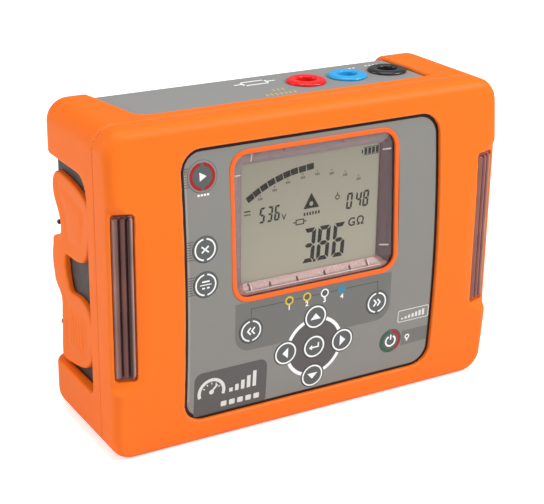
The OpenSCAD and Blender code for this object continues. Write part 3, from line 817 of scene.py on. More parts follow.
holes = [rect_path(RING_X0 - 0.05, RING_X1 + 0.05, RING_Z0 - 0.05, RING_Z1 + 0.05, 9.0, 13)]
holes += [key_hole(key, 0.13) for key in KEYS]
panel = printed("keypad_panel", PANEL, on_crown(PANEL_DEPTH),
                [fill([panel_path(0.3, 8.5)] + holes)], thick=0.55, step=4.0, slot=None)
bevel = panel.modifiers.new("edge", "BEVEL")
bevel.width = 0.16 * MM
bevel.segments = 2
bevel.limit_method = "ANGLE"
bevel.angle_limit = math.radians(60)
tag(["keypad_overlay"])

# dark maroon sheet in the gap round the panel, 0.1 inside the bumper's opening; it paints in the shade
# that falls in the gap
gap_shade_path = rect_path(-(OPENING_HALF_W - 0.1), OPENING_HALF_W - 0.1,
                        OPENING_Z - (OPENING_HALF_H - 0.1), OPENING_Z + (OPENING_HALF_H - 0.1),
                        OPENING_R - 0.1, 13)
printed("panel_gap_shade", GAP_SHADE, on_crown(1.72), [fill([gap_shade_path, panel_path(0.36, 8.44)])],
        thick=0.5, step=4.0, slot="black_rubber")

# ------------------------------------------------------------------ display surround
RING_X, RING_Z = (RING_X0 + RING_X1) / 2, (RING_Z0 + RING_Z1) / 2
RING_W, RING_H = RING_X1 - RING_X0, RING_Z1 - RING_Z0

# (inset, depth behind the crown)
RING_PROFILE = [(0.0, 2.1), (0.0, 1.42), (0.12, 1.22), (0.38, 1.1), (1.8, 1.1), (2.05, 1.22),
                (2.2, 1.5), (2.2, 2.1)]
points, faces = loft([(centred_path(RING_W - 2 * inset, RING_H - 2 * inset, 9.0 - inset,
                                    RING_X, RING_Z), on_crown(depth))
                      for inset, depth in RING_PROFILE])
make("display_ring_skin", points, faces, ORANGE_RING, "orange_rubber", ["display_ring"],
     angle=35)

# clear window that follows the crown
printed("display_window_sheet", GLASS, on_crown(1.62),
        [fill([centred_path(RING_W - 4.8, RING_H - 4.8, 6.6, RING_X, RING_Z)])],
        thick=1.1, step=3.0, slot="clear_window", replaces=["display_window"])


def below_window(depth):
    """A level depth that never comes closer than 3.2 to the crown."""
    return lambda x, z: np.maximum(depth, crown(z) + 3.2)


# smoked frame that slopes down to the liquid crystal cell: width, height, radius, x, z, depth
FRAME_W, FRAME_H = RING_W - 5.0, RING_H - 5.0
FRAME_ROWS = [
    (FRAME_W, FRAME_H, 6, RING_X, RING_Z, 7.1),
    (FRAME_W, FRAME_H, 6, RING_X, RING_Z, on_crown(3.05)),
    (FRAME_W - 1.6, FRAME_H - 1.6, 5.2, RING_X, RING_Z, on_crown(3.1)),
    (FRAME_W - 3.2, FRAME_H - 2.6, 4.4, RING_X, RING_Z, below_window(4.2)),
    (76.6, 60.2, 3.2, RING_X / 2, RING_Z, below_window(5.0)),
    (75.2, 58.6, 2.6, 0.2, RING_Z, below_window(5.25)),
    (72.6, 56.4, 2.0, 0, 99.9, below_window(6.6)),
    (71.4, 55.2, 1.5, 0, 99.8, below_window(6.9)),
    (71.4, 55.2, 1.5, 0, 99.8, 7.1),
]
points, faces = loft([(centred_path(*row[:5]), row[5]) for row in FRAME_ROWS])
# the walls are one smoked plastic; the lower walls take a lighter copy as painted light and the right
# walls a dark copy as painted shade
face_mats = []
for f in faces:
    x, _, z = points[f].mean(0)
    across, rise = (x - 0.3) / 40.0, (z - 100.0) / 30.5
    if abs(rise) >= abs(across):
        face_mats.append(0 if rise > 0 else 1)
    else:
        face_mats.append(2 if across > 0 else 0)
make("display_frame_tray", points, faces, [FRAME, FRAME_PAINTED_LIT, FRAME_PAINTED_SHADE], "smoked_plastic",
     ["display_frame"], face_mats=face_mats, angle=50)

# small raised bars on the frame, coloured pale as painted highlights: one end, other end, radius
RIDGES = [((-31, 6.45, 131.6), (-31.4, 6.7, 128.6), 0.42),
          ((-39.6, 5.8, 123), (-37.0, 6.2, 123), 0.42),
          ((40.6, 5.8, 124), (37.0, 6.4, 124), 0.42),
          ((40.6, 4.1, 78), (37.0, 5.9, 78), 0.42),
          ((-32, 3.8, 69.4), (-32, 5.9, 72.2), 0.42),
          ((30, 3.8, 69.4), (30, 5.9, 72.2), 0.42),
          ((-35, 3.55, 69.3), (36, 3.55, 69.3), 0.3)]
TICKS = [((x, 4.2, 69.6), (x, 5.2, 71.0), 0.35) for x in (-22, -8, 6.5, 20)]
TICKS += [((x, 6.6, 132.6), (x, 6.7, 130.4), 0.35) for x in (-15, 15)]
for name, rows, mat in (("display_frame_ridges", RIDGES, FRAME_PAINTED_HIGHLIGHT),
                        ("display_frame_ticks", TICKS, SMOKE)):
    points, faces = join([bead(*row) for row in rows])
    make(name, points, faces, mat, "smoked_plastic", angle=60)


# ------------------------------------------------------------------ prints on the panel
def layer(count):
    """Prints lie on the panel in layers 0.02 apart, higher ones further forward."""
    return on_crown(PANEL_DEPTH - 0.02 * count)


MENU_KEYS = ("previous_key", "next_key", "up_key")
printed("menu_field_print", MENU, layer(1),
        [fill([rect_path(-41.4, 41.4, 41.6, 65.3, (8, 0.4, 0.4, 8), 11)]
              + [key_hole(key) for key in MENU_KEYS])], step=3.0)


def cut_spans(spans, left, right):
    """Takes left..right out of the spans that hold either end of it."""
    out = []
    for x0, x1 in spans:
        if x0 < left < x1:
            out.append((x0, left))
        if x0 < right < x1:
            out.append((right, x1))
        if not (x0 < left < x1 or x0 < right < x1):
            out.append((x0, x1))
    return out


# fine rules across the darker field, stopping short of the keys
rules = []
for i in range(12):
    z = 43.4 + i * 1.85
    half = 39.5 if z > 46 else 37
    spans = [(-half, half)]
    for key in MENU_KEYS:
        key_x, key_z, r = KEY_PLACE[key]
        clear, rise = r + 0.7, abs(z - key_z)
        if rise < clear:
            reach = math.sqrt(clear ** 2 - rise * rise)
            spans = cut_spans(spans, key_x - reach, key_x + reach)
    rules += [bar(x0, z, x1, z, 0.22) for x0, x1 in spans if x1 - x0 > 0.6]
printed("menu_field_rules", STRIPE, layer(2), rules)

# stripes running to the left column of keys
stripes = []
for key in ("test_key", "escape_key", "select_key"):
    key_x, key_z, r = KEY_PLACE[key]
    for i in range(8):
        z = key_z + 0.2 - 4.0 + i * 8.0 / 7
        x1 = key_x - math.sqrt(max(0.0, (r + 0.5) ** 2 - (z - key_z) ** 2))
        stripes.append(bar(-64.4, z, x1, z, 0.36))
printed("key_stripes", LINE, layer(1), stripes)

# badge at the lower left: a dial with a needle, rising bars and a row of small blocks
printed("badge_field", DARK, layer(1), [poly(rect_path(-61.2, -24.3, 13.6, 35.5, (1, 4, 4, 1), 8))],
        step=3.0)
DIAL_X, DIAL_Z = -52.5, 24.8
marks = [band(DIAL_X, DIAL_Z, 5.4, 7.0, -20, 200, 44)]
for degrees in (30, 60, 90, 120, 150):
    c, s = math.cos(math.radians(degrees)), math.sin(math.radians(degrees))
    marks.append(bar(DIAL_X + 3.9 * c, DIAL_Z + 3.9 * s, DIAL_X + 4.9 * c, DIAL_Z + 4.9 * s, 0.5))
marks += [bar(DIAL_X, DIAL_Z + 0.2, DIAL_X + 2.9, DIAL_Z + 3.3, 1.0),
          ring(DIAL_X, DIAL_Z, 0.0, 1.2, 20)]
for i, rise in enumerate((2.0, 3.2, 4.6, 6.2, 8.0)):
    marks.append(rect(-43.5 + i * 3.0, 22.6, -41.7 + i * 3.0, 22.6 + rise))
printed("badge_marks", SOFT_WHITE, layer(2), marks)
printed("badge_small_marks", SOFT_WHITE, layer(2),
        [poly(rect_path(-47.5 + i * 4.2, -44.6 + i * 4.2, 15.9, 18.6, 0.5, 4))
         for i in range(5)])

# disc round the enter key, hollowed by the four arrow keys, and arcs between them
CROSS_X, CROSS_Z, _ = KEY_PLACE["enter_key"]
CROSS_R = 13.5
CROSS_PITCH = KEY_PLACE["right_key"][0] - CROSS_X
HOLE_R = KEY_PLACE["right_key"][2] + 0.16
inner, outer = [], []
for t in np.radians(np.linspace(0, 360, 289)):
    turn = (t + math.pi / 4) % (math.pi / 2) - math.pi / 4     # from the nearest arrow key
    aside = CROSS_PITCH * math.sin(turn)
    r = CROSS_R
    if abs(aside) < HOLE_R:
        r = min(r, CROSS_PITCH * math.cos(turn) - math.sqrt(HOLE_R ** 2 - aside ** 2))
    inner.append((CROSS_X + HOLE_R * math.cos(t), CROSS_Z + HOLE_R * math.sin(t)))
    outer.append((CROSS_X + r * math.cos(t), CROSS_Z + r * math.sin(t)))
printed("cross_field", DARK, layer(3), [strip(np.array(inner), np.array(outer))])
printed("cross_arcs", WHITE, layer(4),
        [band(CROSS_X, CROSS_Z, CROSS_R, 15.2, 90 * i + 24.5, 90 * i + 65.5, 24)
         for i in range(4)])

# four numbered function marks along the top of the menu field, joined by a line
MARK_X, MARK_Z = (-13.9, -4.6, 4.8, 14.1), 61.8
printed("function_rings_yellow", YELLOW, layer(3),
        [ring(x, MARK_Z, 1.4, 2.15, 36) for x in MARK_X[:2]])
printed("function_ring_white", WHITE, layer(3), [ring(MARK_X[2], MARK_Z, 1.5, 2.1, 36)])
printed("function_dot_blue", BLUE, layer(3), [ring(MARK_X[3], MARK_Z, 0.0, 2.15, 36)])
printed("function_dots_dark", DARK, layer(2),
        [ring(x, MARK_Z, 0.0, 1.3, 24) for x in MARK_X[:3]])
printed("function_numerals", WHITE, layer(3),
        [text(str(i + 1), 3.3, x, 58.3, 0.09) for i, x in enumerate(MARK_X)])
LEFT_X, RIGHT_X = KEY_PLACE["previous_key"][0], KEY_PLACE["next_key"][0]
level = [(LEFT_X - 0.15, -16.4), (-11.5, -7.0), (-2.2, 2.4), (7.2, 11.7), (16.5, RIGHT_X + 0.15)]
printed("menu_line", LINE, layer(3),
        [bar(LEFT_X, 57.6, LEFT_X, MARK_Z, 0.35)]
        + [bar(x0, MARK_Z, x1, MARK_Z, 0.35) for x0, x1 in level]
        + [bar(RIGHT_X, MARK_Z, RIGHT_X, 57.4, 0.35)])

# field and lamp mark by the power key, and an outlined box of rising bars above them
power_path = np.concatenate([[(49.75, 24.8)], arc(64.0, 25.6, 0.5, -90, 0, 5),
                             arc(64.0, 32.2, 0.5, 0, 90, 5), [(49.75, 32.7)]])
printed("power_field_print", MENU, layer(1), [fill([power_path])])
printed("lamp_mark", WHITE, layer(2),
        [ring(53.0, 29.0, 0.75, 1.35, 24), bar(53.0, 27.7, 53.0, 26.7, 0.9)])
printed("range_box_line", SOFT_WHITE, layer(1),
        [fill([rect_path(46.6, 64.4, 37.5, 43.8, 0.9, 5),
               rect_path(47.0, 64.0, 37.9, 43.4, 0.6, 5)])])
printed("range_box_bars", SOFT_WHITE, layer(1),
        [rect(48.6 + i * 2.0, 38.9, 49.9 + i * 2.0, 39.7 + i * 0.42) for i in range(7)])
printed("test_key_mark", WHITE, layer(1), dashes(4, -58.6, 1.5, 118.0, 1.0, 0.9))
printed("panel_edge_strip", EDGE_GREY, layer(1),
        [poly(rect_path(PANEL_X0 + 0.5, PANEL_X0 + 1.3, PANEL_Z0 + 9, PANEL_Z1 - 9, 0.3, 4))],
        step=3.0)

# ------------------------------------------------------------------ keys
KEY_DEPTH = 1.3                                           # key faces, behind the crown


def key_slot(key):
    return "test_key_print" if key == "test_key" else "key_print"


def key_cap(key, mat):
    x, z, r = KEY_PLACE[key]
    # (radius, depth below the key's face)
    profile = [(0.02, 0.0), (r * 0.35, 0.0), (r * 0.7, 0.0), (r - 0.5, 0.0), (r - 0.2, 0.04),
               (r - 0.05, 0.16), (r, 0.34), (r, 1.6), (0.02, 1.6)]
    points, faces = loft([(circle(x, z, radius, 48), on_crown(KEY_DEPTH + depth))
                          for radius, depth in profile], closed=False)
    make(key + "_cap", points, faces, mat, key_slot(key), [key], body=key, angle=50)


def key_print(key, suffix, mat, shapes, lift=0.03):
    printed(f"{key}_{suffix}", mat, on_crown(KEY_DEPTH - lift), shapes, body=key,
            slot=key_slot(key))


def arrow_head(x, z, degrees):
    c, s = math.cos(math.radians(degrees)), math.sin(math.radians(degrees))
    return poly([(x + c * u - s * v, z + s * u + c * v)
                 for u, v in ((1.75, 0.0), (-1.25, 2.75), (-1.25, -2.75))])


for key in KEYS:
    key_cap(key, PANEL if key == "test_key" else KEY_DARK)

x, z, _ = KEY_PLACE["test_key"]
key_print("test_key", "disc", KEY_DARK, [ring(x, z, 0.0, 6.0, 48)], lift=0.02)
key_print("test_key", "ring", RED, split_ring(x, z, 4.6, 6.1), lift=0.045)
key_print("test_key", "symbol", WHITE,
          [poly([(x - 1.3, z - 1.9), (x + 2.0, z), (x - 1.3, z + 1.9)])], lift=0.045)
for key in ("escape_key", "select_key"):
    x, z, _ = KEY_PLACE[key]
    key_print(key, "ring", WHITE, split_ring(x, z, 4.4, 5.1))
x, z, _ = KEY_PLACE["escape_key"]
key_print("escape_key", "symbol", WHITE,
          bars((x - 1.7, z - 1.4, x + 1.7, z + 1.4, 0.7), (x - 1.7, z + 1.4, x - 0.35, z + 0.3, 0.7),
               (x + 0.35, z - 0.3, x + 1.7, z - 1.4, 0.7)))
x, z, _ = KEY_PLACE["select_key"]
key_print("select_key", "symbol", WHITE,
          bars((x - 2.8, z, x + 2.8, z, 0.4), (x - 1.8, z + 1.5, x + 1.8, z + 1.5, 0.7),
               (x - 1.8, z - 1.5, x - 0.5, z - 1.5, 0.7),
               (x + 0.5, z - 1.5, x + 1.8, z - 1.5, 0.7)))
for key, way in (("previous_key", -1), ("next_key", 1)):
    x, z, _ = KEY_PLACE[key]
    key_print(key, "ring", WHITE, split_ring(x, z, 4.4, 5.1))
    chevrons = []
    for shift in (-0.95, 1.15):
        tail, tip = x + way * shift - way * 0.9, x + way * shift + way * 0.7
        chevrons += bars((tail, z + 1.7, tip, z - 0.15, 0.75), (tail, z - 1.7, tip, z + 0.15, 0.75))
    key_print(key, "symbol", WHITE, chevrons)
for key, degrees in (("up_key", 90), ("down_key", 270), ("left_key", 180), ("right_key", 0)):
    x, z, _ = KEY_PLACE[key]
    key_print(key, "ring", WHITE, [ring(x, z, 4.75, 5.5, 56)])
    key_print(key, "symbol", WHITE, [arrow_head(x, z, degrees)])
x, z, _ = KEY_PLACE["enter_key"]
key_print("enter_key", "ring", WHITE, [ring(x, z, 4.6, 5.4, 56)])
key_print("enter_key", "symbol", WHITE,
          bars((x + 2.2, z + 1.8, x + 2.2, z - 0.55, 0.75), (x + 2.55, z - 0.35, x - 1.4, z - 0.35, 0.75))
          + [poly([(x - 2.9, z - 0.35), (x - 1.1, z - 1.65), (x - 1.1, z + 0.95)])])
x, z, _ = KEY_PLACE["power_key"]
key_print("power_key", "ring_left", GREEN, [band(x, z, 4.3, 5.6, 98, 292, 44)])
key_print("power_key", "ring_right", RED, [band(x, z, 4.3, 5.6, -62, 84, 36)])
key_print("power_key", "inner_ring", WHITE, [band(x, z, 2.2, 3.1, 118, 422, 48)])
key_print("power_key", "symbol", WHITE, [bar(x, z + 0.6, x, z + 3.3, 0.8)])

# ------------------------------------------------------------------ readings on the display
LCD_Y = float(node_box("lcd_module")[0][1])
LIT = {"0": "abcdef", "3": "abcdg", "4": "bcfg", "5": "acdfg", "6": "acdefg", "8": "abcdefg"}


def on_lcd(x, z):
    return np.full(np.shape(x), LCD_Y - 0.03)


def digit(char, x0, z0, w, h, t, lean=0.1):
    """Seven-segment digit, t thick; segments a to f run clockwise from the top, g is mid."""
    g = t * 0.12
    m = h / 2
    near, far = t * 0.2 + g, t * 0.8 + g
    high = [h - g - t * 0.2, h - g - t, m + g + t * 0.6, m + g * 0.8, m + g + t * 0.3]
    low = [near, g + t, m - g - t * 0.6, m - g * 0.8, m - g - t * 0.3]
    left, right = [0, t, t, t * 0.45, 0], [w, w - t, w - t, w - t * 0.45, w]
    shapes = {"a": [(near, h), (w - near, h), (w - far, h - t), (far, h - t)],
              "d": [(near, 0), (w - near, 0), (w - far, t), (far, t)],
              "g": [(g + t * 0.5, m), (g + t, m + t / 2), (w - g - t, m + t / 2),
                    (w - g - t * 0.5, m), (w - g - t, m - t / 2), (g + t, m - t / 2)],
              "f": list(zip(left, high)), "b": list(zip(right, high)),
              "e": list(zip(left, low)), "c": list(zip(right, low))}
    out = []
    for segment in LIT[char]:
        path = np.array(shapes[segment], float)
        path[:, 0] += x0 + lean * path[:, 1]
        path[:, 1] += z0
        out.append(poly(path))
    return out


# blocks of the bar graph along the curved scale: middle x, z
BAR_GRAPH = np.array([(-31.1, 111.4), (-27.8, 113.4), (-24.2, 115.3), (-20.5, 117.0),
                      (-16.6, 118.3), (-12.8, 119.4), (-9.0, 120.2), (-4.9, 120.7),
                      (-0.9, 121.2)])
readings = []
for i, middle in enumerate(BAR_GRAPH):
    along = BAR_GRAPH[min(len(BAR_GRAPH) - 1, i + 1)] - BAR_GRAPH[max(0, i - 1)]
    along /= np.linalg.norm(along)
    out = np.array([-along[1], along[0]]) * 1.45
    readings.append(poly([middle - along * 1.76 - out, middle + along * 1.76 - out,
                          middle + along * 1.9 + out, middle - along * 1.9 + out]))
# characters, their left ends, then z, width, height, thickness, lean
for chars, places, sizes in (("536", (-26.8, -22.9, -19.2), (98.8, 2.8, 7.2, 0.92, 0.1)),
                             ("048", (18.4, 23.3, 27.2), (97.9, 3.1, 7.7, 0.95, 0.1)),
                             ("386", (-4.6, 3.1, 11.3), (75.8, 6.5, 16.4, 2.0, 0.07))):
    for char, x in zip(chars, places):
        readings += digit(char, x, *sizes)
readings.append(rect(1.6, 75.6, 2.9, 76.9))               # decimal point
# triangle with a round hole
triangle = np.array([(0.0, 108.9), (-4.0, 101.7), (4.2, 101.7)])
hole_x, hole_z = triangle.mean(0)
readings.append(fill([triangle, circle(hole_x, hole_z - 0.3, 1.0, 24)]))
readings += [bar(-3.4 + i * 1.5, 98.5, -3.4 + i * 1.5, 100.0, 0.85) for i in range(6)]
# battery gauge at the upper right
GAUGE_X0, GAUGE_X1, GAUGE_Z0, GAUGE_Z1 = 26.9, 35.2, 122.4, 125.9
readings += bars((GAUGE_X0, GAUGE_Z0, GAUGE_X1, GAUGE_Z0, 0.3),
                 (GAUGE_X0, GAUGE_Z1, GAUGE_X1, GAUGE_Z1, 0.3),
                 (GAUGE_X0 - 0.5, 123.3, GAUGE_X0 - 0.5, 125.0, 0.7))
for i in range(4):
    x = GAUGE_X0 + i * 2.05
    readings.append(rect(x + 0.6, GAUGE_Z0 + 0.35, x + 2.1, GAUGE_Z1 - 0.35))
readings += [text("V", 3.8, -14.0, 99.7, 0.06), text("\u03a9", 5.6, 26.6, 91.2, 0.1),
             text("G", 5.6, 21.9, 91.2, 0.1)]
# clock mark, then the voltage mark at the left
readings += [ring(13.8, 104.6, 0.75, 1.2, 24), bar(13.8, 105.8, 13.8, 106.9, 0.45)]
readings += [bar(-34.0, 105.4, -31.0, 105.4, 0.6)] + dashes(3, -34.0, 1.1, 103.8, 0.8, 0.6)
# open box with a lead at each end
readings += bars((-7.9, 95.0, -3.5, 95.0, 0.5), (-7.9, 97.2, -3.5, 97.2, 0.5),
                 (-7.65, 94.8, -7.65, 97.4, 0.5), (-3.75, 94.8, -3.75, 97.4, 0.5),
                 (-9.2, 96.1, -7.8, 96.1, 0.5), (-3.6, 96.1, -2.2, 96.1, 0.5))
printed("display_readings", SEGMENT, on_lcd, readings, weld=False, slot="lcd_glass")

# faint tick and three dashes at each place on the scale
faint = []
for x, z in [(-26.2, 110.4), (-19, 113.4), (-12.3, 115.9), (-4.7, 117), (2.8, 117.5),
             (10.3, 116.7), (17.5, 114.9), (24.7, 111.9)]:
    faint += [bar(x, z + 0.8, x, z + 1.7, 0.4)] + dashes(3, x - 1.0, 0.8, z - 0.3, 0.55, 1.1)
printed("display_scale_marks", SEGMENT_FAINT, on_lcd, faint, slot="lcd_glass")

# ------------------------------------------------------------------ grip inserts
# painted highlights and shade across each insert, bright at the rods' edges where glints fall and dark in
# the grooves: mm from its middle, display colour
RIB_PAINTED_LIGHT_LEFT = [(-4.4, (192, 156, 150)), (-3.3, (130, 90, 84)), (-1.9, (80, 48, 42)),
             (-0.6, (112, 60, 54)), (0.5, (100, 62, 58)), (1.5, (78, 46, 42)),
             (2.2, (42, 17, 15)), (2.9, (140, 102, 98)), (3.7, (200, 172, 172)),
             (4.4, (120, 80, 70))]
RIB_PAINTED_LIGHT_RIGHT = [(-4.4, (214, 160, 142)), (-3.4, (146, 92, 84)), (-2.2, (132, 70, 60)),
              (-0.8, (142, 76, 68)), (0.4, (150, 86, 78)), (1.8, (138, 68, 62)),
              (3.1, (168, 122, 112)), (4.2, (194, 134, 118))]
RIB_PITCH = 2.95


def grip_ribs(x, y, z):
    """A plate with three upright round ribs on its front."""
    d = rect_field(x, z, 4.5, 37.2, 1.6)
    d = round_max(np.maximum(d, 0.35 - y), y - 1.05, 0.15)
    for middle in (-RIB_PITCH, 0.0, RIB_PITCH):
        past_end = z - np.clip(z, -35.2, 35.2)
        rib = np.sqrt((x - middle) ** 2 + ((y - 0.25) * 0.95) ** 2 + past_end ** 2) - 1.36
        d = np.minimum(d, rib)
    return np.maximum(d, y - 1.05)


points, faces, normals = field_mesh(grip_ribs, (-5.2, -1.8, -38.2), (5.2, 1.6, 38.2), 0.34)
for way, side, painted_light_stops in ((-1, "left", RIB_PAINTED_LIGHT_LEFT), (1, "right", RIB_PAINTED_LIGHT_RIGHT)):
    c, s = math.cos(way * GRIP_TILT), math.sin(way * GRIP_TILT)
    turn = np.array([[c, -s, 0], [s, c, 0], [0, 0, 1]]).T
    make(side + "_grip_ribs", points @ turn + np.array([way * GRIP_X, GRIP_Y, GRIP_Z]), faces,
         painted_light_bands("ribs_painted_light_" + side, way * GRIP_X, painted_light_stops), "smoked_plastic",
         [side + "_grip_insert"], normals=normals @ turn)

# ------------------------------------------------------------------ top panel and sockets
_, TOP_BACK_Y, TOP_Z = node_box("socket_panel")[1]
SOCKETS = {"red": SOCKET_RED, "blue": SOCKET_BLUE, "black": SOCKET_BLACK}


def top_panel(x, y, z):
    d = top_field(x, y, 0.45)
    d = round_max(d, round_max(z - TOP_Z, y - (TOP_BACK_Y + 5.6), 9.0), 0.5)
    d = np.maximum(np.maximum(d, (TOP_Z - 2.1) - z), y - TOP_BACK_Y)
    for colour in SOCKETS:
        socket_x, socket_y, _ = centre(colour + "_socket")
        d = np.maximum(d, 7.2 - hypot(x - socket_x, y - socket_y))
    return d


field_piece("socket_panel_skin", top_panel, (-83, 23, TOP_Z - 3.2),
            (77, TOP_BACK_Y + 1, TOP_Z + 1), 0.7, TOP_PANEL, "panel_grey", ["socket_panel"])

COLLAR_BASE, COLLAR_TOP = TOP_Z + 0.06, 149.98
# (radius, z), up the bore, over the rim, down outside and back under
COLLAR = [(0.02, 127.0), (4.7, 127.0), (4.7, COLLAR_TOP - 1.0), (4.78, COLLAR_TOP - 0.5),
          (5.05, COLLAR_TOP - 0.15), (5.5, COLLAR_TOP), (7.6, COLLAR_TOP),
          (8.3, COLLAR_TOP - 0.12), (9.0, COLLAR_TOP - 0.5), (9.35, COLLAR_TOP - 0.95),
          (9.4, COLLAR_TOP - 1.2), (9.3, COLLAR_BASE + 0.15), (9.1, COLLAR_BASE),
          (7.0, COLLAR_BASE), (7.0, 122.0), (1.9, 122.0), (1.9, 126.0), (0.02, 126.0)]
for colour, mat in SOCKETS.items():
    x, y, _ = centre(colour + "_socket")
    points, faces = revolve(x, y, COLLAR)
    make(colour + "_socket_collar", points, orient(points, faces), mat, "socket_" + colour,
         [colour + "_socket"], angle=40)


def top_print(name, mat, shapes):
    """Shapes drawn in x, y, laid on the top panel."""
    points, faces = slab(*merge(shapes), lambda x, z: np.zeros(np.shape(x)))
    points = np.stack([points[:, 0], points[:, 2], TOP_Z + 0.03 - points[:, 1]], 1)
    make(name, points, orient(points, faces), mat, "panel_grey", smooth=False)


top_print("resistor_mark", WHITE,
          bars((-13.5, 54.6, -9.6, 54.6, 1.0), (4.0, 54.6, 8.0, 54.6, 1.0),
               (-9.6, 57.4, 4.0, 57.4, 1.1), (-9.6, 51.8, 4.0, 51.8, 1.1),
               (-9.1, 51.3, -9.1, 57.9, 1.1), (3.5, 51.3, 3.5, 57.9, 1.1)))
top_print("input_marks", YELLOW,
          [bar(-8.4 + i * 2.4, 31.4 + (i % 2) * 0.2, -8.4 + i * 2.4, 34.2, 0.8)
           for i in range(7)]
          + [bar(-1.4 + i * 2.4, 38.0, -1.4 + i * 2.4, 40.6, 0.8) for i in range(3)])
top_print("socket_marks", WHITE,
          dashes(5, centre("blue_socket")[0] + 2, 2.2, 57.4, 1.2, 1.2)
          + dashes(4, centre("black_socket")[0] - 4, 2.2, 58.4, 1.2, 1.2))


# ------------------------------------------------------------------ covers on the left side
def soften(path):
    """Cuts the corners of a closed path twice."""
    path = np.asarray(path, float)
    for _ in range(2):
        ahead = np.roll(path, -1, 0)
        path = np.stack([0.75 * path + 0.25 * ahead, 0.25 * path + 0.75 * ahead], 1)
        path = path.reshape(-1, 2)
    return path


# outlines in y, z
UPPER_LOBE = soften([
    (66.5, 117.4), (69.8, 113.5), (70.6, 108.5), (68.8, 102.6), (64.8, 97.6), (63.2, 92.5),
    (63.6, 87.0), (66, 82.0), (62, 80.6), (54, 80.0), (46.0, 80.2), (38.4, 82.2), (33.6, 88.0),
    (30.6, 97.0), (29.9, 106.5), (32.6, 112.0), (40.0, 114.9), (50, 116.8), (60, 117.8)])
LOWER_LOBE = soften([
    (70.5, 63), (67.4, 59.4), (65.4, 55.5), (66.2, 48), (67.0, 37), (67.8, 30), (66.6, 25.2),
    (58, 26.4), (44.0, 29.2), (36.6, 32.8), (32.4, 38.4), (30.6, 47.0), (31.2, 55.6),
    (34.6, 61.0), (40.6, 63.4), (46.0, 63.8), (52, 63.2), (57, 62.4)])
NECK = soften([
    (58.4, 88), (64, 88), (70.6, 85.4), (73.2, 84.2), (73.6, 81), (73.6, 66), (72.6, 62.6),
    (68, 59.6), (56.0, 57), (55.4, 62.6), (57.4, 67.6), (58.8, 72.5), (59.0, 78)])
SPLIT_Z = 71.8                                            # where the two covers meet
COVER_LOW, COVER_HIGH, COVER_CELL = (-100.2, 29.4, 24.6), (-93.8, 73.6, 118.4), 0.5


def hump(distance, width):
    return np.exp(-(distance / width) ** 2)


def covers(x, y, z):
    upper, lower = polygon_field(y, z, UPPER_LOBE), polygon_field(y, z, LOWER_LOBE)
    shape = round_min(round_min(upper, lower, 0.01), polygon_field(y, z, NECK), 2.4)
    shape = np.maximum(shape, y - 72.6)
    # outer face: shallow groove inside each rim, proud at the neck and high on the upper lobe
    face = -97.15 + 0.5 * hump(upper + 7.0, 3.0) + 0.5 * hump(lower + 7.0, 3.0)
    rear = np.clip((y - 50.0) / 18.0, 0, 1)
    rear = rear * rear * (3 - 2 * rear)
    face = face - rear * (0.9 * hump(z - 74.0, 8.0) + 0.3 * hump(z - 110.0, 9.0))
    # five upright ribs on the lower lobe
    for k in range(5):
        fade = np.clip((9.0 - np.abs(z - 43.0 - 0.6 * k)) / 2.0, 0, 1)
        face = face - 0.38 * hump(y - (43 + 3.3 * k), 0.75) * fade
    return round_max(round_max(shape, face - x, 1.1), x + 94.45, 0.25)


def cover(name, way, fixed_z, free_z, replaces):
    """One cover, above (way 1) or below (way -1) the split; fixed_z and free_z only make two points that
    nothing uses.
    """
    points, faces, normals = field_mesh(
        lambda x, y, z: np.maximum(covers(x, y, z), way * (SPLIT_Z - z)),
        COVER_LOW, COVER_HIGH, COVER_CELL)
    # shade the skin as one piece across the split, and level the cut edge
    on_skin = np.abs(covers(*points.T)) < 0.08
    normals = np.where(on_skin[:, None], unit_gradient(covers, points), normals)
    points[on_skin & (np.abs(points[:, 2] - SPLIT_Z) < 0.3), 2] = SPLIT_Z
    obj = make(name, points, faces, ORANGE, body=None, normals=normals)
    start, end = (to_world([(-95.8, 60.0, z)])[0] for z in (fixed_z, free_z))
    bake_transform(obj)
    tag(replaces)


cover("upper_cover_skin", 1, 78.8, 82.8,
      ["upper_socket_cover", "cover_anchor"])
cover("lower_cover_skin", -1, 65.4, 61.4, ["lower_socket_cover"])

# slightly smaller core that stays behind the split
field_piece("cover_neck_core",
            lambda x, y, z: np.maximum(covers(x, y, z) + 0.07, np.abs(z - SPLIT_Z) - 1.1),
            COVER_LOW, COVER_HIGH, COVER_CELL, ORANGE, "orange_rubber")

# snap studs behind the covers; only their tips show past the rear edge: (radius, x)
STUD = [(0.02, -96.35), (0.75, -96.3), (1.1, -96.0), (1.15, -95.6), (1.15, -95.2),
        (1.1, -94.9), (1.1, -87.0), (0.02, -87.0)]
turned, faces = revolve(0.0, 0.0, STUD, n=24)
points, faces = join([(np.stack([turned[:, 2], turned[:, 0] + 68.4, turned[:, 1] + z], 1), faces)
                      for z in (92.0, 43.0)])
make("cover_stud_tips", points, faces, SOCKET_BLACK, "component_dark", ["cover_studs"],
     angle=40)

# ------------------------------------------------------------------ world and floor
scene = bpy.context.scene
scene.view_settings.view_transform = "Standard"
scene.view_settings.look = "None"
scene.view_settings.exposure = 0.0

# the world looks white to the camera but lights the piece only dimly
AMBIENT = 0.3
world = bpy.data.worlds.new("studio")
scene.world = world
world.use_nodes = True
tree = world.node_tree
background = tree.nodes["Background"]
set_inputs(tree, background, {"Color": (1.0, 0.995, 0.985, 1), "Strength": AMBIENT})
seen = node(tree, "LightPath").outputs["Is Camera Ray"]
strength = node(tree, "MapRange", {"Value": seen, "To Min": AMBIENT, "To Max": 1.0})
set_inputs(tree, background, {"Strength": strength.outputs["Result"]})


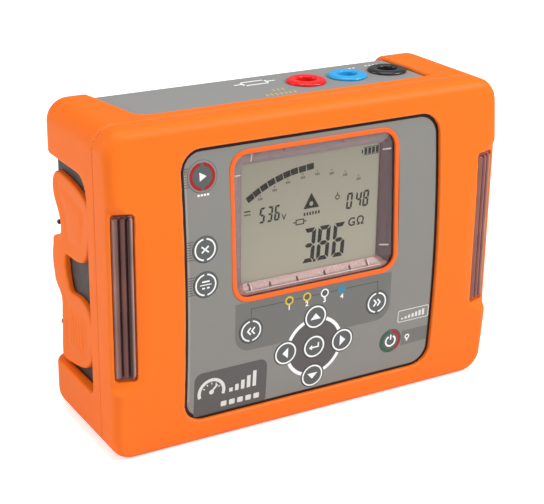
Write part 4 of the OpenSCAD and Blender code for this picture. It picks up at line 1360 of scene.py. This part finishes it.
def floor_material():
    """Pale and matt, lifted by a glow that only the camera sees."""
    material, tree = new_material("pale_floor")
    surface = tree.nodes["Principled BSDF"]
    set_inputs(tree, surface, {"Base Color": (0.93, 0.93, 0.93, 1), "Roughness": 0.9,
                               "Specular IOR Level": 0.1, "Emission Color": (1, 1, 1, 1)})
    pattern = node(tree, "TexNoise", {"Scale": 3.0}).outputs["Fac"]
    rough = node(tree, "MapRange", {"Value": pattern, "To Min": 0.86, "To Max": 0.94})
    seen = node(tree, "LightPath").outputs["Is Camera Ray"]
    glow = node(tree, "Math", {0: seen, 1: 0.55}, operation="MULTIPLY")
    set_inputs(tree, surface, {"Roughness": rough.outputs["Result"],
                               "Emission Strength": glow.outputs["Value"]})
    return material


floor_mesh = bpy.data.meshes.new("floor")
floor_mesh.from_pydata([(-6, -6, 0), (6, -6, 0), (6, 12, 0), (-6, 12, 0)], [], [(0, 1, 2, 3)])
floor_mesh.materials.append(floor_material())
floor = bpy.data.objects.new("floor", floor_mesh)
COLLECTION.objects.link(floor)
floor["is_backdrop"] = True


# ------------------------------------------------------------------ lights and camera
def area_light(name, place, aim_z, size, watts, color=(1, 1, 1)):
    """Square light aimed at the upright axis through the origin; metres."""
    light = bpy.data.lights.new(name, "AREA")
    light.energy = watts
    light.color = color
    light.shape = "RECTANGLE"
    light.size = size
    light.size_y = size
    obj = bpy.data.objects.new(name, light)
    COLLECTION.objects.link(obj)
    obj.location = place
    aim = Vector((0, 0, aim_z)) - Vector(place)
    obj.rotation_euler = aim.to_track_quat("-Z", "Y").to_euler()


area_light("key", (0.86, -0.9, 1.08), aim_z=0.07, size=0.65, watts=15.4)
area_light("top", (-0.1, -0.15, 1.5), aim_z=0.1, size=1.1, watts=10.5)
area_light("left_fill", (-1.6, 0.75, 0.8), aim_z=0.07, size=0.8, watts=9.5,
           color=(1.0, 0.93, 0.86))
area_light("corner_fill", (-1.35, -0.85, 0.75), aim_z=0.07, size=0.7, watts=2.6,
           color=(1.0, 0.95, 0.9))

AZIMUTH, ELEVATION, ROLL = (math.radians(a) for a in (-30.26392, 21.34895, 0.73208))
CAMERA_PLACE = Vector((-313.6104, -533.6088, 312.1595)) * MM
back = Vector((math.sin(AZIMUTH) * math.cos(ELEVATION),
               -math.cos(AZIMUTH) * math.cos(ELEVATION), math.sin(ELEVATION)))
right = (-back).cross(Vector((0, 0, 1))).normalized()
up = right.cross(-back)
rolled_right = right * math.cos(ROLL) + up * math.sin(ROLL)
rolled_up = -right * math.sin(ROLL) + up * math.cos(ROLL)
camera = bpy.data.cameras.new("camera")
camera.sensor_fit = "HORIZONTAL"
camera.sensor_width = 36.0
camera.lens = 93.4492149
camera.clip_start = 0.01
camera.clip_end = 50
camera_obj = bpy.data.objects.new("camera", camera)
COLLECTION.objects.link(camera_obj)
pose = Matrix.Identity(4)
for i in range(3):
    for j, column in enumerate((rolled_right, rolled_up, back, CAMERA_PLACE)):
        pose[i][j] = column[i]
camera_obj.matrix_world = pose
scene.camera = camera_obj

low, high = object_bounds()
